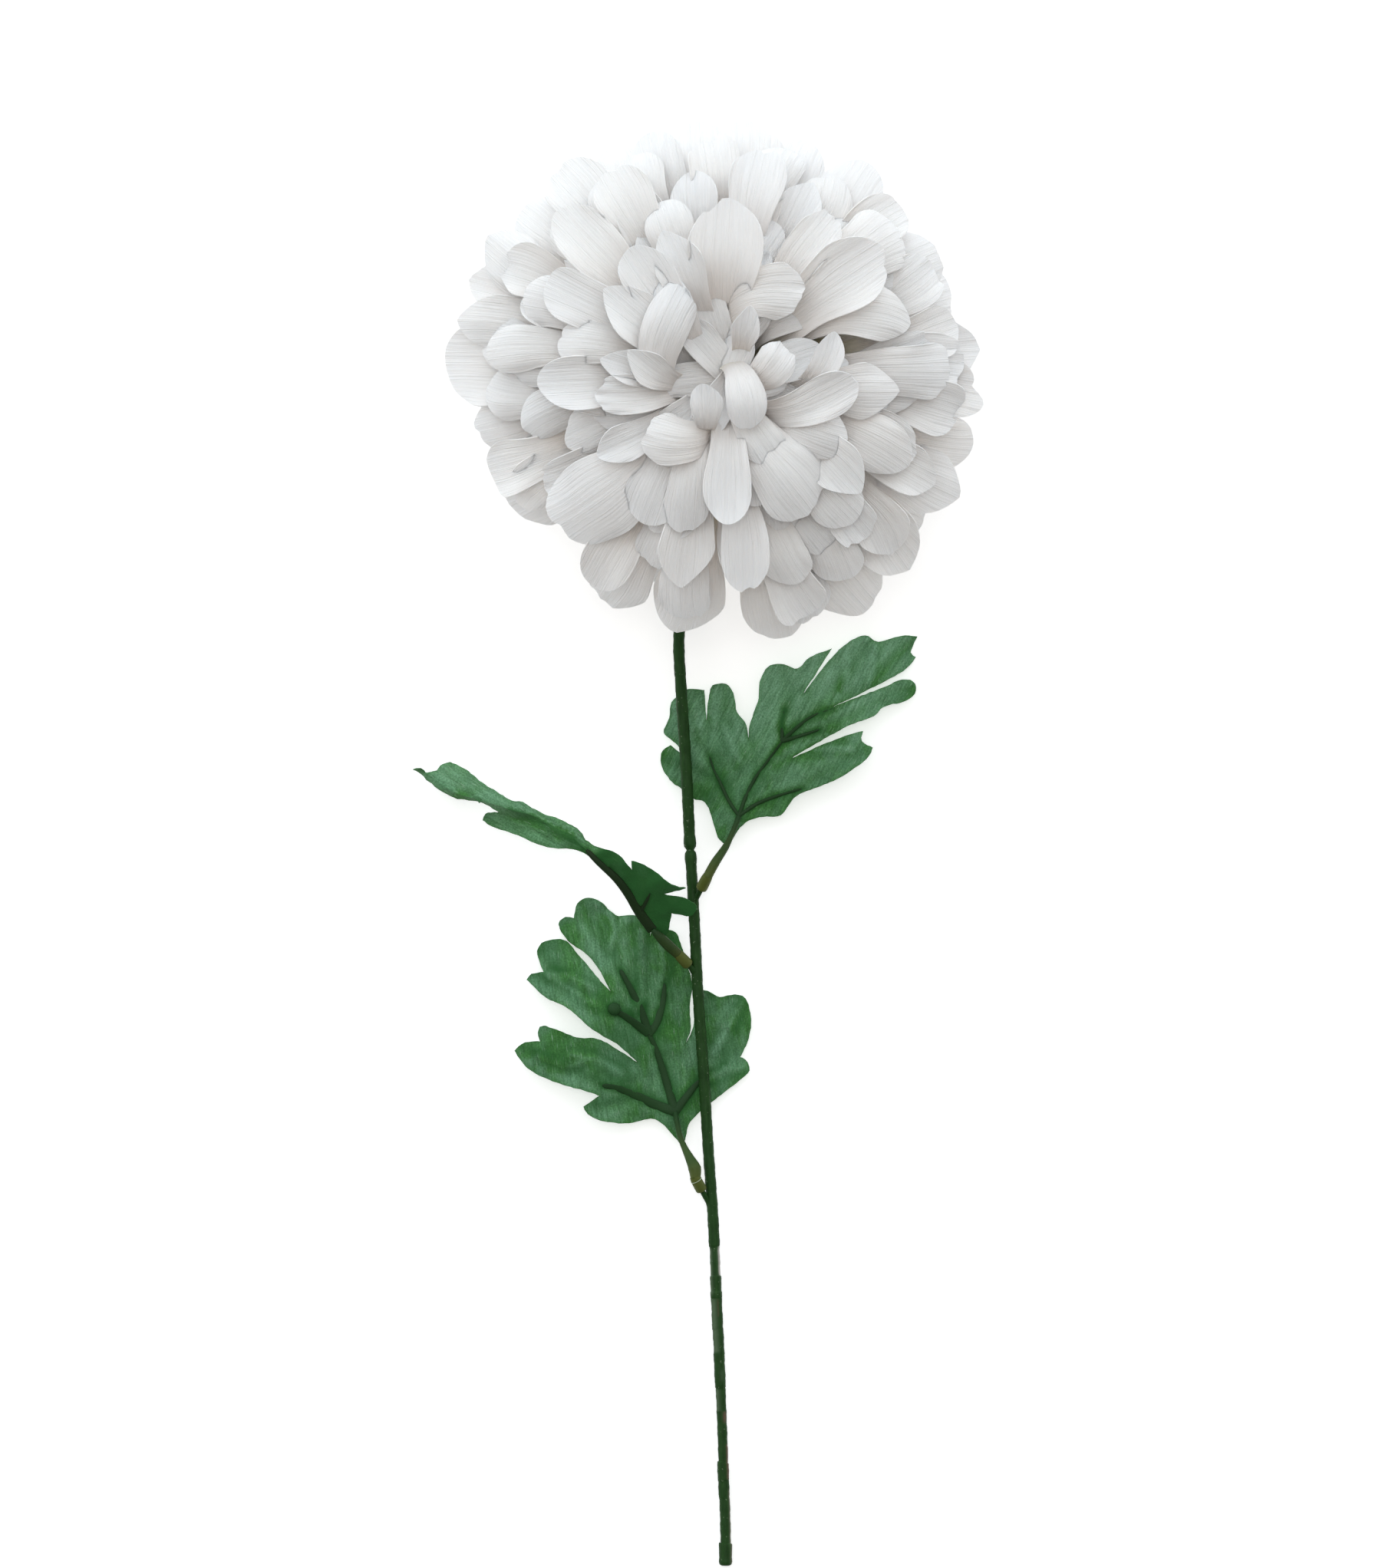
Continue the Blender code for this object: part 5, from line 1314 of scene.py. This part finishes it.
class Nodes:
    """The nodes of a material or a world, with short calls to add and link them."""

    def __init__(self, owner):
        self.owner = owner
        self.owner.use_nodes = True
        self.tree = self.owner.node_tree

    def add(self, kind, **settings):
        node = self.tree.nodes.new(kind)
        for key, value in settings.items():
            setattr(node, key, value)
        return node

    def link(self, source, target):
        self.tree.links.new(source, target)

    def uv(self, scale):
        place = self.add("ShaderNodeUVMap", uv_map="fabric")
        mapping = self.add("ShaderNodeMapping")
        mapping.inputs["Scale"].default_value = scale
        self.link(place.outputs["UV"], mapping.inputs["Vector"])
        return mapping.outputs["Vector"]

    def put(self, value, socket):
        """Gives a socket a number, a colour or another node's output."""
        if isinstance(value, (int, float)):
            socket.default_value = value
        elif isinstance(value, tuple):
            socket.default_value = (*value, 1)
        elif value is not None:
            self.link(value, socket)

    def spot(self):
        return self.add("ShaderNodeTexCoord").outputs["Object"]

    def noise(self, vector, scale, detail=2.0, rough=0.5, distortion=0.0):
        node = self.add("ShaderNodeTexNoise")
        for key, value in (("Vector", vector), ("Scale", scale), ("Detail", detail),
                           ("Roughness", rough), ("Distortion", distortion)):
            self.put(value, node.inputs[key])
        return node.outputs["Fac"]

    def ramp(self, source, stops):
        node = self.add("ShaderNodeValToRGB")
        elements = node.color_ramp.elements
        while len(elements) < len(stops):
            elements.new(0.5)
        for element, (place, colour) in zip(elements, stops):
            element.position = place
            element.color = (*colour, 1)
        self.link(source, node.inputs["Fac"])
        return node.outputs["Color"]

    def mix(self, first, second, factor, blend="MIX"):
        node = self.add("ShaderNodeMix", data_type="RGBA", blend_type=blend)
        for value, index in ((factor, 0), (first, 6), (second, 7)):
            self.put(value, node.inputs[index])
        return node.outputs[2]

    def multiply(self, first, second):
        return self.mix(first, second, 1.0, "MULTIPLY")

    def value(self, operation, *values):
        node = self.add("ShaderNodeMath", operation=operation)
        for value, socket in zip(values, node.inputs):
            self.put(value, socket)
        return node.outputs[0]

    def attribute(self, name):
        node = self.add("ShaderNodeAttribute", attribute_name=name)
        return node.outputs["Fac"]

    def bump(self, height, strength, distance, normal=None):
        node = self.add("ShaderNodeBump")
        for key, value in (("Strength", strength), ("Distance", distance), ("Height", height),
                           ("Normal", normal)):
            self.put(value, node.inputs[key])
        return node.outputs["Normal"]

    def finish(self, colour, roughness, normal, **settings):
        """Sets the shader, with its other sockets named by their words joined with _."""
        inputs = self.tree.nodes["Principled BSDF"].inputs
        self.put(colour, inputs["Base Color"])
        self.put(roughness, inputs["Roughness"])
        self.put(normal, inputs["Normal"])
        for key, value in settings.items():
            inputs[key.replace("_", " ")].default_value = value
        return self.owner


def new_material(name):
    return Nodes(bpy.data.materials.new(name))


def petal_material():
    """White brushed fabric, yellow-green and cream at the petals' roots."""
    nodes = new_material("petal_fabric")
    place = nodes.add("ShaderNodeUVMap", uv_map="fabric")
    split = nodes.add("ShaderNodeSeparateXYZ")
    nodes.link(place.outputs["UV"], split.inputs["Vector"])
    along = split.outputs["Y"]
    cloud = nodes.noise(nodes.spot(), 55, 2)
    shifted = nodes.value("MULTIPLY_ADD", nodes.value("SUBTRACT", cloud, 0.5), 0.16, along)
    base = nodes.ramp(shifted, (
        (0.00, (0.72, 0.71, 0.44)),
        (0.25, (0.84, 0.79, 0.62)),
        (0.48, (0.925, 0.858, 0.812)),
        (0.72, (0.950, 0.924, 0.903)),
        (1.00, (0.955, 0.954, 0.957)),
    ))
    tone = nodes.attribute("tone")
    warm = nodes.value("MULTIPLY_ADD", tone, 0.5, 0.5)
    tint = nodes.mix((0.985, 0.992, 1.0), (1.0, 0.988, 0.978), warm)
    base = nodes.multiply(base, tint)
    streak_place = nodes.uv((34, 1.6, 1))
    streak = nodes.noise(streak_place, 1.0, 4, 0.6)
    light = nodes.ramp(streak, ((0.3, (0.945, 0.945, 0.945)), (0.7, (1, 1, 1))))
    base = nodes.multiply(base, light)
    weave = nodes.noise(nodes.spot(), 1500, 2)
    normal = nodes.bump(weave, 0.25, 0.0002)
    normal = nodes.bump(streak, 0.75, 0.0008, normal)
    fold = nodes.noise(nodes.uv((8, 0.9, 1)), 1.0, 3, 0.5)
    normal = nodes.bump(fold, 0.55, 0.0016, normal)
    rough = nodes.value("MULTIPLY_ADD", weave, 0.2, 0.68)
    return nodes.finish(base, rough, normal, Subsurface_Weight=0.60,
                        Subsurface_Radius=(1.0, 0.93, 0.88), Subsurface_Scale=0.0007,
                        Sheen_Weight=0.08, Specular_IOR_Level=0.15)


def leaf_material():
    """Green printed fabric, brushed on the slant, with painted shade in its creases, painted light
    and shade by its folds, and brighter patches.
    """
    nodes = new_material("leaf_fabric")
    patch = nodes.noise(nodes.uv((1, 1.6, 1)), 5.0, 3, 0.55, 0.4)
    base = nodes.ramp(patch, (
        (0.36, (0.086, 0.224, 0.108)),
        (0.48, (0.077, 0.208, 0.089)),
        (0.57, (0.052, 0.182, 0.047)),
        (0.70, (0.040, 0.160, 0.031)),
    ))
    # The shade mark: above nothing dark green, below it pale teal; it carries the fabric's own
    # patches, and painted light and shade by the folds, pleats and ribs, and the right leaf's
    # painted light towards its tips.
    shade = nodes.attribute("shade")
    base = nodes.mix(base, (0.150, 0.330, 0.185), nodes.value("MULTIPLY", shade, -1.0))
    streak = nodes.noise(nodes.uv((9, 95, 1)), 1.0, 5, 0.65)
    light = nodes.ramp(streak, ((0.30, (0.66, 0.71, 0.66)), (0.50, (1, 1, 1)),
                                (0.70, (1.46, 1.32, 1.48))))
    base = nodes.multiply(base, light)
    thread = nodes.noise(nodes.uv((150, 150, 1)), 1.0, 2, 0.6)
    cloth = nodes.ramp(thread, ((0.35, (0.72, 0.75, 0.72)), (0.65, (1.26, 1.20, 1.26))))
    base = nodes.multiply(base, cloth)
    scratch = nodes.noise(nodes.uv((26, 210, 1)), 1.0, 2, 0.5)
    fine = nodes.ramp(scratch, ((0.61, (0, 0, 0)), (0.72, (0.6, 0.6, 0.6))))
    base = nodes.mix(base, (0.26, 0.42, 0.28), fine)
    # The tone mark darkens the ribs, partly their own colour, paints shade in the creases by ribs
    # and folds, and darkens the edge.
    crease = nodes.attribute("tone")
    dark = nodes.ramp(crease, ((0.0, (1, 1, 1)), (0.45, (0.84, 0.91, 0.80)),
                               (0.85, (0.56, 0.70, 0.46))))
    base = nodes.multiply(base, dark)
    base = nodes.mix(base, (0.018, 0.104, 0.021), shade)
    weave = nodes.noise(nodes.uv((1, 1, 1)), 190, 2)
    normal = nodes.bump(weave, 0.35, 0.0003)
    normal = nodes.bump(streak, 0.45, 0.0005, normal)
    rough = nodes.value("MULTIPLY_ADD", weave, 0.2, 0.60)
    return nodes.finish(base, rough, normal, Sheen_Weight=0.04, Specular_IOR_Level=0.18)


def stem_material():
    """Dark green moulded plastic with fine lengthwise scratches and pale specks, painted glints of
    its fine bumps.
    """
    nodes = new_material("stem_plastic")
    streak = nodes.noise(nodes.uv((9, 14, 1)), 1.0, 4, 0.6)
    base = nodes.ramp(streak, ((0.3, (0.009, 0.036, 0.006)), (0.6, (0.015, 0.056, 0.010)),
                               (0.8, (0.028, 0.078, 0.017))))
    # Pale specks: painted glints of the stem's fine bumps.
    speck = nodes.noise(nodes.spot(), 900, 1)
    pale = nodes.ramp(speck, ((0.70, (0, 0, 0)), (0.74, (1, 1, 1))))
    base = nodes.mix(base, (0.16, 0.22, 0.13), nodes.value("MULTIPLY", pale, 0.5))
    # Pale marks are partly wear and partly painted highlight; brown marks are wear.
    pale_wear_and_highlight = nodes.attribute("tone")
    base = nodes.mix(base, (0.075, 0.120, 0.064), pale_wear_and_highlight)
    base = nodes.mix(base, (0.36, 0.35, 0.32), nodes.value("SUBTRACT", pale_wear_and_highlight, 1.0))
    base = nodes.mix(base, (0.125, 0.066, 0.048), nodes.attribute("shade"))
    dent = nodes.noise(nodes.spot(), 260, 3)
    normal = nodes.bump(dent, 0.35, 0.0005)
    rough = nodes.value("MULTIPLY_ADD", dent, 0.3, 0.40)
    return nodes.finish(base, rough, normal, Specular_IOR_Level=0.15)


def stalk_material():
    """Moulded plastic: olive green stalks and sockets, dark green ribs."""
    nodes = new_material("stalk_plastic")
    cloud = nodes.noise(nodes.spot(), 60, 3)
    olive = nodes.ramp(cloud, ((0.3, (0.062, 0.086, 0.016)), (0.6, (0.094, 0.114, 0.022)),
                               (0.8, (0.15, 0.155, 0.045))))
    green = nodes.ramp(cloud, ((0.3, (0.010, 0.046, 0.011)), (0.7, (0.018, 0.072, 0.018))))
    tone = nodes.attribute("tone")
    base = nodes.mix(green, olive, tone)
    base = nodes.mix(base, (0.45, 0.52, 0.40), nodes.value("SUBTRACT", tone, 1.1))
    base = nodes.mix(base, (0.009, 0.021, 0.005), nodes.attribute("shade"))
    fine = nodes.noise(nodes.uv((6, 20, 1)), 1.0, 3)
    normal = nodes.bump(fine, 0.3, 0.0004)
    rough = nodes.value("MULTIPLY_ADD", fine, 0.25, 0.40)
    return nodes.finish(base, rough, normal, Specular_IOR_Level=0.18)


def calyx_material():
    """Green moulded plastic, clouded."""
    nodes = new_material("calyx_plastic")
    cloud = nodes.noise(nodes.spot(), 180, 3)
    base = nodes.ramp(cloud, ((0.3, (0.028, 0.080, 0.018)), (0.7, (0.055, 0.130, 0.030))))
    normal = nodes.bump(cloud, 0.3, 0.0004)
    rough = nodes.value("MULTIPLY_ADD", cloud, 0.3, 0.35)
    return nodes.finish(base, rough, normal, Specular_IOR_Level=0.45)


# Studio.

def make_floor():
    """A plain pale floor that glows a little, so that it stays white."""
    mesh = bpy.data.meshes.new("floor")
    size = FLOOR_HALF_WIDTH
    corners = [(-size, -size, 0), (size, -size, 0), (size, size, 0), (-size, size, 0)]
    mesh.from_pydata(corners, [], [(0, 1, 2, 3)])
    floor = bpy.data.objects.new("floor", mesh)
    bpy.context.scene.collection.objects.link(floor)
    nodes = new_material("floor_paper")
    grain = nodes.noise(nodes.spot(), 30, 2)
    colour = nodes.ramp(grain, ((0.3, (0.86, 0.86, 0.86)), (0.7, (0.88, 0.88, 0.88))))
    normal = nodes.bump(grain, 0.02, 0.0001)
    mesh.materials.append(nodes.finish(colour, 0.9, normal, Specular_IOR_Level=0.1,
                                       Emission_Color=(1, 1, 1, 1),
                                       Emission_Strength=FLOOR_GLOW))


def make_soft_light():
    world = bpy.data.worlds.new("studio")
    bpy.context.scene.world = world
    nodes = Nodes(world)
    place = nodes.add("ShaderNodeTexCoord")
    lean = nodes.add("ShaderNodeVectorMath", operation="DOT_PRODUCT")
    lean.inputs[1].default_value = SOFT_LIGHT_FROM
    nodes.link(place.outputs["Generated"], lean.inputs[0])
    rise = nodes.value("MULTIPLY_ADD", lean.outputs["Value"], 0.5, 0.5)
    background = nodes.tree.nodes["Background"]
    nodes.put(nodes.ramp(rise, SOFT_LIGHT_COLOURS), background.inputs["Color"])
    nodes.put(SOFT_LIGHT, background.inputs["Strength"])


def make_lamp():
    lamp = bpy.data.lights.new("overhead", "AREA")
    lamp.shape = "SQUARE"
    lamp.size = LAMP_SIZE
    lamp.energy = LAMP_POWER
    lamp.color = LAMP_COLOUR
    item = bpy.data.objects.new("overhead", lamp)
    item.location = LAMP_PLACE
    way = Vector(LAMP_TARGET) - Vector(LAMP_PLACE)
    item.rotation_euler = way.to_track_quat("-Z", "Y").to_euler()
    item.visible_camera = False
    bpy.context.scene.collection.objects.link(item)


def make_camera():
    """A camera straight over the flower, so far that its view is nearly parallel."""
    camera = bpy.data.cameras.new("camera")
    camera.sensor_width = SENSOR
    camera.lens = SENSOR * VIEW_DISTANCE / PICTURE_HEIGHT
    camera.clip_start = 0.1
    camera.clip_end = 60
    item = bpy.data.objects.new("camera", camera)
    item.location = (*VIEW_CENTRE, VIEW_PLANE_Z + VIEW_DISTANCE)
    bpy.context.scene.collection.objects.link(item)
    bpy.context.scene.camera = item


def main():
    view = bpy.context.scene.view_settings
    view.view_transform = "Standard"
    view.look = "None"
    make_floor()
    make_soft_light()
    make_lamp()
    make_camera()
    make_bloom(petal_material())
    make_calyx(calyx_material())
    make_stem(stem_material())
    fabric = leaf_material()
    plastic = stalk_material()
    make_leaf("right", RIGHT_BASE, partial(flat_height, **RIGHT_RISE), right_shade,
              RIGHT_OUTLINE, RIGHT_RIBS, RIGHT_FOLDS, RIGHT_PLEATS, fabric, plastic)
    make_leaf("lower", LOWER_BASE, partial(flat_height, **LOWER_RISE), lower_shade,
              LOWER_OUTLINE, LOWER_RIBS, LOWER_FOLDS, LOWER_PLEATS, fabric, plastic, LOWER_KNOB)
    make_leaf("left", LEFT_BASE, left_height, left_shade, from_base(LEFT_OUTLINE),
              [from_base(rib) for rib in LEFT_RIBS],
              [from_base(fold) for fold in LEFT_FOLDS + LEFT_CREASES], (), fabric, plastic)


main()
